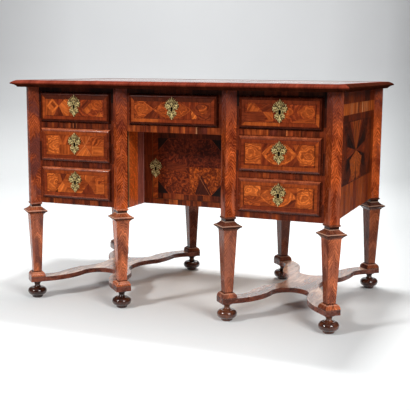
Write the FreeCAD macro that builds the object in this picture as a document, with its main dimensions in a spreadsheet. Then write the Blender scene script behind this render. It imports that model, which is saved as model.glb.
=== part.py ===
import FreeCAD, Part
import os
import re

import Sketcher

# A kneehole writing desk on eight square tapering legs, in millimetres.
# The origin is on the floor under the middle of the desk, +X runs along its length,
# -Y is the front and +Z is up.

SIZES = {
    # Whole desk: its height, and the legs' distance in front of and behind the middle
    "desk_height": 790,
    "leg_y": 313,
    # Top board and the moulding along its four edges
    "top_thickness": 24,
    "top_overhang_x": 55,
    "top_overhang_y": 59,
    "edge_width": 42,
    "edge_slope_width": 18,
    "edge_slope_drop": 9,
    "edge_slope_bulge": 1.2,
    "edge_nose_height": 4,
    "edge_cove_width": 19,
    "edge_cove_depth": 2.5,
    # Posts: square sticks set corner to the front
    "post_side": 37,
    # Legs, from the stretcher up: base, tapering shaft, collar, neck and bead
    "leg_base_side": 52,
    "leg_base_lip": 5,
    "leg_base_height": 20,
    "leg_base_bulge": 2.5,
    "shaft_foot_side": 29.5,
    "shaft_head_side": 47,
    "collar_side": 69.5,
    "collar_under_height": 11.5,
    "collar_under_hollow": 1,
    "collar_lip_height": 5.5,
    "collar_lip_bulge": 1.5,
    "collar_slope_height": 14,
    "collar_slope_hollow": 1.5,
    "neck_side": 34,
    "neck_height": 7.5,
    "bead_height": 7,
    "bead_bulge": 3.2,
    # Turned feet
    "foot_height": 62,
    "foot_base_radius": 16.5,
    "foot_base_height": 9,
    "foot_base_bulge": 1.5,
    "foot_waist_radius": 19.5,
    "foot_belly_radius": 34,
    "foot_belly_height": 24.5,
    "foot_belly_bulge": 4,
    "foot_shoulder_radius": 20,
    "foot_shoulder_height": 38.5,
    "foot_shoulder_bulge": 3.7,
    "foot_neck_radius": 10,
    "foot_neck_height": 45,
    "foot_neck_hollow": 2.4,
    "foot_head_radius": 19,
    "foot_head_thickness": 4,
    "foot_head_hollow": 3,
    "spigot_radius": 9,
    "spigot_depth": 25,
    "spigot_gap": 0.2,
    # Stretchers: one sawn board under each pedestal
    "stretcher_thickness": 17,
    "pad_side": 53,
    "bay_half_width": 65,
    "bay_head_y": 162,
    "bay_head_depth": 58,
    "arm_inner_bulge": 17,
    "side_bay_half_length": 112,
    "side_bay_x": 110,
    "side_bay_depth": 48,
    "arm_outer_bulge": 5,
    "elbow_x": 132,
    "elbow_y": 224,
    "elbow_hollow": 6,
    # Carcase: panels, rails and dust boards
    "panel_thickness": 20,
    "top_rail_height": 16,
    "upper_rail_height": 18,
    "lower_rail_height": 17,
    "base_rail_height": 19,
    "knee_rail_height": 22,
    "side_stile_width": 14,
    "centre_stile_width": 15,
    "dust_board_thickness": 12,
    "guide_height": 22,
    "guide_setback": 12,
    # Drawers
    "top_drawer_height": 107,
    "middle_drawer_height": 120,
    "bottom_drawer_height": 115,
    "side_drawer_width": 280,
    "centre_drawer_width": 326,
    "drawer_gap": 0.5,
    "slide_gap": 0.3,
    "front_thickness": 24,
    "front_proud": 10,
    "front_step_proud": 1.5,
    "front_step_width": 2,
    "front_edge_radius": 7.5,
    "drawer_side_thickness": 10,
    "drawer_bottom_thickness": 8,
    "drawer_head_room": 18,
    "drawer_back_gap": 18,
    # Escutcheon plates and locks
    "plate_width": 48,
    "plate_height": 75,
    "door_plate_width": 45,
    "door_plate_height": 68,
    "plate_thickness": 2.4,
    "plate_rise": 6.5,
    "door_plate_drop": 10,
    "key_hole_radius": 3,
    "key_slot_width": 2.6,
    "key_slot_drop": 9,
    "lock_case_width": 62,
    "lock_case_height": 44,
    "lock_case_depth": 12,
    # Kneehole cupboard, its door and hinges
    "door_setback": 141,
    "cupboard_stile_width": 34,
    "cupboard_rail_height": 19,
    "door_gap": 1.5,
    "door_stop_lap": 5,
    "door_stop_thickness": 12,
    "door_plate_inset": 12,
    "door_lock_width": 40,
    "door_lock_inset": 8,
    "hinge_length": 54,
    "hinge_inset": 34,
    "hinge_knuckle_radius": 4,
    "hinge_pin_radius": 2,
    "hinge_pin_gap": 0.15,
    "hinge_leaf_width": 14,
    "hinge_leaf_thickness": 1.5,
    "hinge_leaf_offset": 4.6,
}

# Places across the desk that follow from the widths of the drawers: the centre lines of
# the legs, and the middle of each pedestal
PLACES = {
    "leg_inner_x": "centre_drawer_width / 2 + drawer_gap + centre_stile_width + panel_thickness",
    "pedestal_x": "leg_inner_x + panel_thickness + side_stile_width + drawer_gap + side_drawer_width / 2",
    "leg_outer_x": "2 * pedestal_x - leg_inner_x",
}

# Half outline of an escutcheon plate, from the bottom drop up its right side to the
# crest: shares of the half width and half height, and each edge's bulge as a share
# of the half width
PLATE_SHARES = [
    (0.00, -1.00, 0.00),
    (0.17, -0.86, 0.08),
    (0.13, -0.72, 0.05),
    (0.52, -0.62, 0.12),
    (0.62, -0.38, 0.06),
    (0.44, -0.24, -0.05),
    (0.56, -0.04, 0.04),
    (0.92, 0.06, 0.12),
    (1.00, 0.30, 0.08),
    (0.72, 0.44, 0.06),
    (0.70, 0.56, -0.03),
    (0.46, 0.72, 0.10),
    (0.24, 0.66, -0.05),
    (0.20, 0.84, 0.06),
    (0.00, 1.00, 0.00),
]

# Right-hand piercings of a plate: corners and bulges in the same shares
PIERCING_SHARES = [
    [(0.30, -0.52, 0.05), (0.42, -0.42, 0.04), (0.30, -0.34, 0.04), (0.24, -0.42, 0.02)],
    [(0.50, 0.14, 0.05), (0.74, 0.20, 0.05), (0.66, 0.34, 0.04), (0.46, 0.30, 0.03)],
    [(0.24, 0.44, 0.04), (0.44, 0.46, 0.04), (0.40, 0.58, 0.03), (0.26, 0.54, 0.02)],
]

doc = FreeCAD.newDocument("WritingDesk")
sheet = doc.addObject("Spreadsheet::Sheet", "Size")
ENTRIES = {**SIZES, **{alias: "=" + text for alias, text in PLACES.items()}}
for row, (alias, entry) in enumerate(ENTRIES.items(), start=1):
    sheet.set(f"A{row}", alias)
    sheet.set(f"B{row}", str(entry))
    sheet.setAlias(f"B{row}", alias)
doc.recompute()

SUB_PARTS = []


def formula(text):
    """The text as a FreeCAD expression, with the sheet's name before each alias."""
    return re.sub(r"[a-z][a-z_]*", lambda m: "Size." + m[0] if m[0] in ENTRIES else m[0], str(text))


def value(text):
    """What a formula comes to now."""
    return float(sheet.evalExpression(str(text)))


def minus(text):
    return f"-({text})"


def bind(thing, **formulas):
    """Bind properties to formulas; a double underscore stands for a dot."""
    for name, text in formulas.items():
        thing.setExpression(name.replace("__", "."), formula(text))


def place(thing, x=0, y=0, z=0, turn=0):
    bind(thing, Placement__Base__x=x, Placement__Base__y=y, Placement__Base__z=z)
    if turn:
        thing.Placement.Rotation = FreeCAD.Rotation(FreeCAD.Vector(0, 0, 1), turn)
    return thing


def sub_part(thing, label):
    thing.Label = label
    SUB_PARTS.append(thing)
    return thing


def board(name, x, y, z):
    """A board between two formulas along each axis."""
    box = doc.addObject("Part::Box", name)
    for side, (low, high) in zip(("Length", "Width", "Height"), (x, y, z)):
        bind(box, **{side: f"({high}) - ({low})"})
    return place(box, x[0], y[0], z[0])


def mirrored(side, low, high):
    """A span along X on the right (side 1), or its mirror image on the left (side -1)."""
    return (low, high) if side > 0 else (minus(high), minus(low))


def cylinder(name, radius, length, x, y, z):
    rod = doc.addObject("Part::Cylinder", name)
    bind(rod, Radius=radius, Height=length)
    return place(rod, x, y, z)


def cut(base, tool, name):
    result = doc.addObject("Part::Cut", name)
    result.Base = base
    result.Tool = tool
    return result


def notched(piece, *sticks):
    """A piece cut back from the posts that it fits round."""
    for number, stick in enumerate(sticks, start=1):
        piece = cut(piece, stick, f"{piece.Name}_notch{number}")
    return piece


def joined(pieces, name):
    result = doc.addObject("Part::MultiFuse", name)
    result.Shapes = pieces
    return result


def group(pieces, label):
    """One sub-part of several separate solids."""
    result = doc.addObject("Part::Compound", label)
    result.Links = pieces
    return sub_part(result, label)


def constrain(sketch, constraints, formulas):
    """Add constraints in one go, and bind those that have a formula."""
    for added, text in zip(sketch.addConstraint(constraints), formulas):
        if text is not None:
            sketch.setExpression(f"Constraints[{added}]", formula(text))


def draw(sketch, corners):
    """Draw a closed outline, corner by corner, anticlockwise.

    A corner is (x, y, bulge): the bulge of the edge that starts there, outwards if it is
    positive, or 0 for a straight edge. Each corner and radius is bound to its formula.
    """
    points = [FreeCAD.Vector(value(x), value(y), 0) for x, y, bulge in corners]
    shapes = []
    for number, (x, y, bulge) in enumerate(corners):
        start = points[number]
        end = points[(number + 1) % len(points)]
        if bulge == 0:
            shapes.append(Part.LineSegment(start, end))
        else:
            run = end - start
            outward = FreeCAD.Vector(run.y, -run.x, 0).normalize()
            shapes.append(Part.Arc(start, (start + end) / 2 + outward * value(bulge), end))
    edges = sketch.addGeometry(shapes)
    # Which end of each edge is its first one: an arc always runs anticlockwise
    firsts = [
        1 if sketch.getPoint(edge, 1).distanceToPoint(start) < sketch.getPoint(edge, 2).distanceToPoint(start)
        else 2
        for edge, start in zip(edges, points)
    ]
    constraints = []
    formulas = []
    for number, (x, y, bulge) in enumerate(corners):
        following = (number + 1) % len(corners)
        edge = edges[number]
        constraints.append(Sketcher.Constraint(
            "Coincident", edge, 3 - firsts[number], edges[following], firsts[following]))
        formulas.append(None)
        for axis, text in (("DistanceX", x), ("DistanceY", y)):
            constraints.append(Sketcher.Constraint(axis, -1, 1, edge, firsts[number], value(text)))
            formulas.append(text)
        if bulge != 0:
            next_x, next_y, _ = corners[following]
            chord = f"((({next_x}) - ({x}))^2 + (({next_y}) - ({y}))^2)"
            radius = f"({chord} / 4 + ({bulge})^2) / (2 * abs({bulge}))"
            constraints.append(Sketcher.Constraint("Radius", edge, value(radius)))
            formulas.append(radius)
    constrain(sketch, constraints, formulas)


def draw_circle(sketch, x, y, radius):
    centre = FreeCAD.Vector(value(x), value(y), 0)
    ring = sketch.addGeometry(Part.Circle(centre, FreeCAD.Vector(0, 0, 1), value(radius)))
    constraints = [Sketcher.Constraint("DistanceX", -1, 1, ring, 3, value(x)),
                   Sketcher.Constraint("DistanceY", -1, 1, ring, 3, value(y)),
                   Sketcher.Constraint("Radius", ring, value(radius))]
    constrain(sketch, constraints, [x, y, radius])


def rectangle(low_x, low_y, high_x, high_y):
    return [(low_x, low_y, 0), (high_x, low_y, 0), (high_x, high_y, 0), (low_x, high_y, 0)]


def body_sketch(body, name, role="XZ_Plane"):
    """A sketch on one of the body's own planes."""
    sketch = body.newObject("Sketcher::SketchObject", name)
    plane = [feature for feature in body.Origin.OriginFeatures if feature.Role == role][0]
    sketch.AttachmentSupport = [(plane, "")]
    sketch.MapMode = "FlatFace"
    return sketch


def pad(body, sketch, length, reverse=False):
    feature = body.newObject("PartDesign::Pad", sketch.Name + "_pad")
    feature.Profile = sketch
    feature.Reversed = reverse
    bind(feature, Length=length)
    return feature


def extrude(sketch, length, direction):
    """A sketch extruded both ways from its plane."""
    result = doc.addObject("Part::Extrusion", sketch.Name + "_run")
    result.Base = sketch
    result.DirMode = "Custom"
    result.Dir = direction
    result.Symmetric = True
    result.Solid = True
    bind(result, LengthFwd=length)
    return result


# Heights, from the top board down
top_under = "(desk_height - top_thickness)"
top_drawer_top = f"({top_under} - top_rail_height)"
top_drawer_foot = f"({top_drawer_top} - top_drawer_height)"
middle_drawer_top = f"({top_drawer_foot} - upper_rail_height)"
middle_drawer_foot = f"({middle_drawer_top} - middle_drawer_height)"
bottom_drawer_top = f"({middle_drawer_foot} - lower_rail_height)"
bottom_drawer_foot = f"({bottom_drawer_top} - bottom_drawer_height)"
carcase_foot = f"({bottom_drawer_foot} - base_rail_height)"
stretcher_top = "(foot_height + stretcher_thickness)"
centre_board_under = f"({top_drawer_foot} - dust_board_thickness)"
knee_rail_foot = f"({top_drawer_foot} - knee_rail_height)"

# Places across and along the desk
post_reach = "(post_side / sqrt(2))"
pad_reach = "(pad_side / sqrt(2))"
knee_x = "(leg_inner_x - panel_thickness)"
side_inner_x = "(leg_outer_x - panel_thickness)"
side_opening_low = "(pedestal_x - side_drawer_width / 2 - drawer_gap)"
side_opening_high = "(pedestal_x + side_drawer_width / 2 + drawer_gap)"
centre_opening_x = "(centre_drawer_width / 2 + drawer_gap)"
frame_front_y = "(-leg_y)"
frame_inner_y = "(leg_y - panel_thickness)"
drawer_face_y = "(-leg_y - front_proud)"
drawer_front_back_y = f"({drawer_face_y} + front_thickness)"
drawer_end_y = f"({frame_inner_y} - drawer_back_gap)"
door_face_y = "(door_setback - leg_y)"
door_back_y = f"({door_face_y} + panel_thickness)"
door_edge_x = f"({knee_x} - cupboard_stile_width)"
door_half_width = f"({door_edge_x} - door_gap)"
door_foot = f"({bottom_drawer_foot} + door_gap)"
door_opening_top = f"({centre_board_under} - cupboard_rail_height)"
door_top = f"({door_opening_top} - door_gap)"


# Top board: the flat middle, and four mitred lengths of moulding round it
def make_top():
    half_x = "(leg_outer_x + top_overhang_x)"
    half_y = "(leg_y + top_overhang_y)"
    flat_x = f"({half_x} - edge_width)"
    flat_y = f"({half_y} - edge_width)"
    sub_part(
        board("top_board", (minus(flat_x), flat_x), (minus(flat_y), flat_y), (top_under, "desk_height")),
        "top_board",
    )
    nose_top = "(top_thickness - edge_slope_drop)"
    section = [
        ("edge_width", 0, 0),
        ("edge_width", "top_thickness", 0),
        ("edge_slope_width", "top_thickness", "edge_slope_bulge"),
        (0, nose_top, 0),
        (0, f"{nose_top} - edge_nose_height", "-edge_cove_depth"),
        ("edge_cove_width", 0, 0),
    ]
    lengths = []
    sides = [("front", half_x, half_y), ("right", half_y, half_x), ("back", half_x, half_y), ("left", half_y, half_x)]
    for number, (side, half_length, distance) in enumerate(sides):
        profile = doc.addObject("Sketcher::SketchObject", f"edge_{side}_profile")
        profile.Placement.Rotation = FreeCAD.Rotation(FreeCAD.Vector(1, 1, 1), 120)
        draw(profile, section)
        outline = doc.addObject("Sketcher::SketchObject", f"edge_{side}_outline")
        mitre = f"({half_length} - edge_width)"
        draw(outline, [
            (minus(half_length), 0, 0),
            (half_length, 0, 0),
            (mitre, "edge_width", 0),
            (minus(mitre), "edge_width", 0),
        ])
        length = doc.addObject("Part::Common", f"edge_{side}")
        length.Base = extrude(profile, f"2 * {half_length}", (1, 0, 0))
        length.Tool = extrude(outline, "2 * top_thickness", (0, 0, 1))
        outward = [(0, minus(distance)), (distance, 0), (0, distance), (minus(distance), 0)][number]
        lengths.append(place(length, outward[0], outward[1], top_under, turn=90 * number))
    group(lengths, "top_edge_moulding")


# Eight columns: on each centre line a foot, a leg and a post
COLUMNS = {}
for row_name, column_y in (("front", "-leg_y"), ("back", "leg_y")):
    for number, column_x in enumerate(("-leg_outer_x", "-leg_inner_x", "leg_inner_x", "leg_outer_x"), start=1):
        COLUMNS[f"{row_name}_{number}"] = (column_x, column_y)
POSTS = {}


def make_posts():
    half = "(post_side / 2)"
    for name, (x, y) in COLUMNS.items():
        stick = board(f"post_{name}", (minus(half), half), (minus(half), half), (carcase_foot, top_under))
        # The stick turns about its own corner, which stands one reach in front of the centre line
        place(stick, x, f"{y} - {post_reach}", carcase_foot, turn=45)
        POSTS[name] = sub_part(stick, f"post_{name}")


def make_legs():
    # Half section from the stretcher up, as (half width, height, bulge of the next edge)
    neck_foot = f"({carcase_foot} - bead_height - neck_height)"
    lip_top = f"({neck_foot} - collar_slope_height)"
    lip_foot = f"({lip_top} - collar_lip_height)"
    half_section = [
        ("leg_base_side / 2", stretcher_top, 0),
        ("leg_base_side / 2", f"{stretcher_top} + leg_base_lip", "leg_base_bulge"),
        ("shaft_foot_side / 2", f"{stretcher_top} + leg_base_height", 0),
        ("shaft_head_side / 2", f"{lip_foot} - collar_under_height", "-collar_under_hollow"),
        ("collar_side / 2", lip_foot, "collar_lip_bulge"),
        ("collar_side / 2", lip_top, "-collar_slope_hollow"),
        ("neck_side / 2", neck_foot, 0),
        ("neck_side / 2", f"{carcase_foot} - bead_height", "bead_bulge"),
        ("post_side / 2", carcase_foot, 0),
    ]
    left = [(minus(x), z, 0) for x, z, bulge in reversed(half_section)]
    # An edge's bulge belongs to its lower corner on the right, and to its upper one on the left
    for number in range(len(left) - 1):
        x, z, _ = left[number]
        left[number] = (x, z, half_section[len(half_section) - 2 - number][2])
    runs = []
    for name, direction, axis, angle in (
        ("leg_profile_front", (0, 1, 0), (1, 0, 0), 90),
        ("leg_profile_side", (1, 0, 0), (1, 1, 1), 120),
    ):
        profile = doc.addObject("Sketcher::SketchObject", name)
        profile.Placement.Rotation = FreeCAD.Rotation(FreeCAD.Vector(*axis), angle)
        draw(profile, half_section + left)
        runs.append(extrude(profile, "2 * collar_side", direction))
    blank = doc.addObject("Part::Common", "leg_blank")
    blank.Base, blank.Tool = runs
    socket = cylinder("leg_socket", "spigot_radius + spigot_gap", "spigot_depth + 2 * spigot_gap",
                      0, 0, f"{stretcher_top} - spigot_gap")
    for name, (x, y) in COLUMNS.items():
        sub_part(place(cut(blank, socket, f"leg_{name}"), x, y, turn=45), f"leg_{name}")


def make_feet():
    head_foot = "(foot_height - foot_head_thickness)"
    spigot_top = f"({stretcher_top} + spigot_depth)"
    for name, (x, y) in COLUMNS.items():
        body = doc.addObject("PartDesign::Body", f"foot_{name}")
        profile = body_sketch(body, f"foot_{name}_profile")
        draw(profile, [
            (0, 0, 0),
            ("foot_base_radius", 0, "foot_base_bulge"),
            ("foot_waist_radius", "foot_base_height", "foot_belly_bulge"),
            ("foot_belly_radius", "foot_belly_height", "foot_shoulder_bulge"),
            ("foot_shoulder_radius", "foot_shoulder_height", "-foot_neck_hollow"),
            ("foot_neck_radius", "foot_neck_height", "-foot_head_hollow"),
            ("foot_head_radius", head_foot, 0),
            ("foot_head_radius", "foot_height", 0),
            ("spigot_radius", "foot_height", 0),
            ("spigot_radius", spigot_top, 0),
            (0, spigot_top, 0),
        ])
        turned = body.newObject("PartDesign::Revolution", f"foot_{name}_turned")
        turned.Profile = profile
        turned.ReferenceAxis = (profile, ["V_Axis"])
        sub_part(place(body, x, y), f"foot_{name}")


def make_stretchers():
    leg_x = "((leg_outer_x - leg_inner_x) / 2)"
    # One quarter of the outline, from the side bay round a leg pad to the end bay
    quarter = [
        ("side_bay_x", "side_bay_half_length", "arm_outer_bulge"),
        ("elbow_x", "elbow_y", "-elbow_hollow"),
        (leg_x, f"leg_y - {pad_reach}", 0),
        (f"{leg_x} + {pad_reach}", "leg_y", 0),
        (leg_x, f"leg_y + {pad_reach}", 0),
        (f"{leg_x} - {pad_reach}", "leg_y", "arm_inner_bulge"),
        ("bay_half_width", "bay_head_y", "-bay_head_depth"),
    ]
    back_quarter = []
    for number in reversed(range(len(quarter))):
        x, y, _ = quarter[number]
        bulge = quarter[number - 1][2] if number else "-side_bay_depth"
        back_quarter.append((x, y, bulge))
    outline = list(quarter)
    outline += [(minus(x), y, bulge) for x, y, bulge in back_quarter]
    outline += [(minus(x), minus(y), bulge) for x, y, bulge in quarter]
    outline += [(x, minus(y), bulge) for x, y, bulge in back_quarter]
    for side_name, x in (("left", "-pedestal_x"), ("right", "pedestal_x")):
        body = doc.addObject("PartDesign::Body", f"stretcher_{side_name}")
        shape = body_sketch(body, f"stretcher_{side_name}_outline", "XY_Plane")
        draw(shape, outline)
        for hole_x in (minus(leg_x), leg_x):
            for hole_y in ("-leg_y", "leg_y"):
                draw_circle(shape, hole_x, hole_y, "spigot_radius + spigot_gap")
        pad(body, shape, "stretcher_thickness")
        sub_part(place(body, x, 0, "foot_height"), f"stretcher_{side_name}")


# Carcase: side panels, kneehole sides, back panels, front frame and dust boards
def make_panels():
    height = (carcase_foot, top_under)
    knee_sides = []
    backs = []
    for side, side_name in ((-1, "left"), (1, "right")):
        outer, inner = (1, 2) if side < 0 else (4, 3)
        panel = board(f"side_board_{side_name}", mirrored(side, side_inner_x, "leg_outer_x"),
                      (frame_front_y, "leg_y"), height)
        sub_part(notched(panel, POSTS[f"front_{outer}"], POSTS[f"back_{outer}"]), f"side_panel_{side_name}")
        knee = board(f"knee_board_{side_name}", mirrored(side, knee_x, "leg_inner_x"),
                     (minus(frame_inner_y), frame_inner_y), height)
        knee_sides.append(notched(knee, POSTS[f"front_{inner}"], POSTS[f"back_{inner}"]))
        back = board(f"back_board_{side_name}", mirrored(side, "leg_inner_x", side_inner_x),
                     (frame_inner_y, "leg_y"), height)
        backs.append(notched(back, POSTS[f"back_{inner}"], POSTS[f"back_{outer}"]))
    centre = board("back_board_centre", ("-leg_inner_x", "leg_inner_x"), (frame_inner_y, "leg_y"), height)
    backs.append(notched(centre, POSTS["back_2"], POSTS["back_3"]))
    group(knee_sides, "kneehole_sides")
    group(backs, "back_panels")


def make_front_frame():
    depth = (frame_front_y, minus(frame_inner_y))
    height = (carcase_foot, top_under)
    rails = [
        ("top", top_drawer_top, top_under),
        ("upper", middle_drawer_top, top_drawer_foot),
        ("lower", bottom_drawer_top, middle_drawer_foot),
        ("base", carcase_foot, bottom_drawer_foot),
    ]
    pieces = []
    for side, side_name in ((-1, "left"), (1, "right")):
        outer, inner = (1, 2) if side < 0 else (4, 3)
        inner_post = POSTS[f"front_{inner}"]
        outer_post = POSTS[f"front_{outer}"]
        for rail_name, low, high in rails:
            pieces.append(board(f"rail_{side_name}_{rail_name}",
                                mirrored(side, side_opening_low, side_opening_high), depth, (low, high)))
        for stile_name, low, high, post in (
            ("outer", side_opening_high, side_inner_x, outer_post),
            ("inner", "leg_inner_x", side_opening_low, inner_post),
            ("knee", knee_x, "leg_inner_x", inner_post),
        ):
            stile = board(f"stile_{side_name}_{stile_name}", mirrored(side, low, high), depth, height)
            pieces.append(notched(stile, post))
        stile = board(f"stile_{side_name}_centre", mirrored(side, centre_opening_x, knee_x), depth,
                      (top_drawer_foot, top_drawer_top))
        pieces.append(notched(stile, inner_post))
    for rail_name, low, high in (("top", top_drawer_top, top_under), ("knee", knee_rail_foot, top_drawer_foot)):
        rail = board(f"rail_centre_{rail_name}", (minus(knee_x), knee_x), depth, (low, high))
        pieces.append(notched(rail, POSTS["front_2"], POSTS["front_3"]))
    group(pieces, "front_frame")


def make_dust_boards():
    pieces = []
    depth = (f"{post_reach} - leg_y", f"leg_y - {post_reach}")
    guide_depth = (f"guide_setback + {post_reach} - leg_y", drawer_end_y)
    levels = [
        ("top", top_drawer_foot, "dust_board_thickness"),
        ("middle", middle_drawer_foot, "dust_board_thickness"),
        ("bottom", bottom_drawer_foot, "base_rail_height"),
    ]
    for side, side_name in ((-1, "left"), (1, "right")):
        for level, top, thickness in levels:
            pieces.append(board(f"dust_board_{side_name}_{level}", mirrored(side, "leg_inner_x", side_inner_x),
                                depth, (f"{top} - {thickness}", top)))
            guide_height = (top, f"{top} + guide_height")
            for guide_name, low, high in (
                ("inner", "leg_inner_x", side_opening_low),
                ("outer", side_opening_high, side_inner_x),
            ):
                pieces.append(board(f"guide_{side_name}_{level}_{guide_name}", mirrored(side, low, high),
                                    guide_depth, guide_height))
        pieces.append(board(f"guide_{side_name}_centre", mirrored(side, centre_opening_x, knee_x),
                            guide_depth, (top_drawer_foot, f"{top_drawer_foot} + guide_height")))
    pieces.append(board("dust_board_centre", (minus(knee_x), knee_x), depth,
                        (centre_board_under, top_drawer_foot)))
    pieces.append(board("cupboard_floor", (minus(knee_x), knee_x), (door_back_y, frame_inner_y),
                        (carcase_foot, bottom_drawer_foot)))
    group(pieces, "dust_boards")


# Cupboard front: two stiles, two rails, and the strips that the door closes against
def make_cupboard_frame():
    depth = (door_face_y, door_back_y)
    pieces = [
        board("cupboard_base_rail", (minus(knee_x), knee_x), depth, (carcase_foot, bottom_drawer_foot)),
        board("cupboard_top_rail", (minus(knee_x), knee_x), depth, (door_opening_top, centre_board_under)),
    ]
    stop_inner_x = f"({door_half_width} - door_stop_lap)"
    stop_depth = (door_back_y, f"{door_back_y} + door_stop_thickness")
    for side, side_name in ((-1, "left"), (1, "right")):
        pieces.append(board(f"cupboard_stile_{side_name}", mirrored(side, door_edge_x, knee_x), depth,
                            (bottom_drawer_foot, door_opening_top)))
        pieces.append(board(f"door_stop_{side_name}", mirrored(side, stop_inner_x, knee_x), stop_depth,
                            (bottom_drawer_foot, centre_board_under)))
    group(pieces, "cupboard_frame")


def pocket(body, sketch, length):
    """Cut a sketch out of the body, half the length to each side of its plane."""
    feature = body.newObject("PartDesign::Pocket", sketch.Name + "_pocket")
    feature.Profile = sketch
    feature.Midplane = True
    bind(feature, Length=length)
    return feature


# Escutcheon plates: a crest and a drop, pierced, with a keyhole between them
def make_plate(name, width, height):
    body = doc.addObject("PartDesign::Body", name)

    def spot(x_share, z_share, bulge_share):
        bulge = f"{bulge_share} * {width} / 2" if bulge_share else 0
        return f"{x_share} * {width} / 2", f"{z_share} * {height} / 2", bulge

    def reflected(shares):
        """The same corners across the middle line, in the order that keeps them anticlockwise."""
        last = len(shares) - 1
        return [(-shares[n][0], shares[n][1], shares[n - 1][2]) for n in range(last, -1, -1)]

    outline = body_sketch(body, f"{name}_outline")
    left_shares = [(-x, z, PLATE_SHARES[n][2]) for n, (x, z, _) in enumerate(PLATE_SHARES[1:])][-2::-1]
    draw(outline, [spot(*shares) for shares in PLATE_SHARES + left_shares])
    pad(body, outline, "plate_thickness")
    piercings = body_sketch(body, f"{name}_piercings")
    for shares in PIERCING_SHARES:
        draw(piercings, [spot(*corner) for corner in shares])
        draw(piercings, [spot(*corner) for corner in reflected(shares)])
    pocket(body, piercings, "4 * plate_thickness")
    key_hole = body_sketch(body, f"{name}_key_hole")
    half_slot = "(key_slot_width / 2)"
    shoulder = "(key_hole_radius / 2)"
    draw(key_hole, [
        (minus(half_slot), "-key_slot_drop", 0),
        (half_slot, "-key_slot_drop", 0),
        (half_slot, minus(shoulder), 0),
        ("key_hole_radius", 0, 0),
        (shoulder, "key_hole_radius", 0),
        (minus(shoulder), "key_hole_radius", 0),
        ("-key_hole_radius", 0, 0),
        (minus(half_slot), minus(shoulder), 0),
    ])
    pocket(body, key_hole, "4 * plate_thickness")
    return body


DRAWER_PLATE = make_plate("drawer_plate", "plate_width", "plate_height")
DOOR_PLATE = make_plate("cupboard_plate", "door_plate_width", "door_plate_height")


def placed_plate(plate, name, x, y, z):
    copy = doc.addObject("Part::Compound", name)
    copy.Links = [plate]
    return place(copy, x, y, z)


# One drawer: moulded front, box, and its escutcheon with the lock behind
def make_drawer(name, x, foot, height, width):
    front_half = f"({width} / 2)"
    front_height = f"({height} - 2 * drawer_gap)"
    key_z = f"({foot} + {height} / 2 + plate_rise)"
    step_y = "(-leg_y - front_step_proud)"
    body = doc.addObject("PartDesign::Body", f"{name}_front")
    slab = body_sketch(body, f"{name}_slab")
    draw(slab, rectangle(minus(front_half), 0, front_half, front_height))
    pad(body, slab, "front_thickness - front_proud + front_step_proud", reverse=True)
    field = body_sketch(body, f"{name}_field")
    field_half = f"({front_half} - front_step_width)"
    draw(field, rectangle(minus(field_half), "front_step_width", field_half, f"{front_height} - front_step_width"))
    raised = pad(body, field, "front_proud - front_step_proud")
    doc.recompute()
    face_y = raised.Shape.BoundBox.YMin
    face_name = [
        f"Face{number}" for number, face in enumerate(raised.Shape.Faces, start=1)
        if abs(face.BoundBox.YMax - face_y) < face.getTolerance(1) * 10
    ][0]
    rounded = body.newObject("PartDesign::Fillet", f"{name}_edge")
    rounded.Base = (raised, [face_name])
    bind(rounded, Radius="front_edge_radius")
    key_sketch = body_sketch(body, f"{name}_key_hole")
    draw_circle(key_sketch, 0, f"{key_z} - ({foot} + drawer_gap)", "key_hole_radius")
    pocket(body, key_sketch, "4 * front_thickness")
    place(body, x, step_y, f"{foot} + drawer_gap")
    sub_part(body, f"{name}_front")

    box_foot = f"({foot} + slide_gap)"
    box_top = f"({foot} + {height} - drawer_head_room)"
    inner_half = f"({front_half} - drawer_side_thickness)"
    back_inner_y = f"({drawer_end_y} - drawer_side_thickness)"
    floor_top = f"({box_foot} + drawer_bottom_thickness)"
    sides = [
        board(f"{name}_side_{number}", (f"{x} + ({low})", f"{x} + ({high})"),
              (drawer_front_back_y, drawer_end_y), (box_foot, box_top))
        for number, (low, high) in enumerate(((minus(front_half), minus(inner_half)), (inner_half, front_half)))
    ]
    inner_span = (f"{x} - {inner_half}", f"{x} + {inner_half}")
    back = board(f"{name}_back", inner_span, (back_inner_y, drawer_end_y), (box_foot, box_top))
    floor = board(f"{name}_bottom", inner_span, (drawer_front_back_y, back_inner_y), (box_foot, floor_top))
    group(sides + [back, floor], f"{name}_box")

    plate = placed_plate(DRAWER_PLATE, f"{name}_plate", x, drawer_face_y, key_z)
    case = board(f"{name}_lock_case", (f"{x} - lock_case_width / 2", f"{x} + lock_case_width / 2"),
                 (drawer_front_back_y, f"{drawer_front_back_y} + lock_case_depth"),
                 (f"{key_z} - lock_case_height / 2", f"{key_z} + lock_case_height / 2"))
    group([plate, case], f"{name}_lock")


def make_drawers():
    levels = [
        ("top", top_drawer_foot, "top_drawer_height"),
        ("middle", middle_drawer_foot, "middle_drawer_height"),
        ("bottom", bottom_drawer_foot, "bottom_drawer_height"),
    ]
    for side_name, x in (("left", "-pedestal_x"), ("right", "pedestal_x")):
        for level, foot, height in levels:
            make_drawer(f"drawer_{side_name}_{level}", x, foot, height, "side_drawer_width")
    make_drawer("drawer_centre", "0", top_drawer_foot, "top_drawer_height", "centre_drawer_width")


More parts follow.
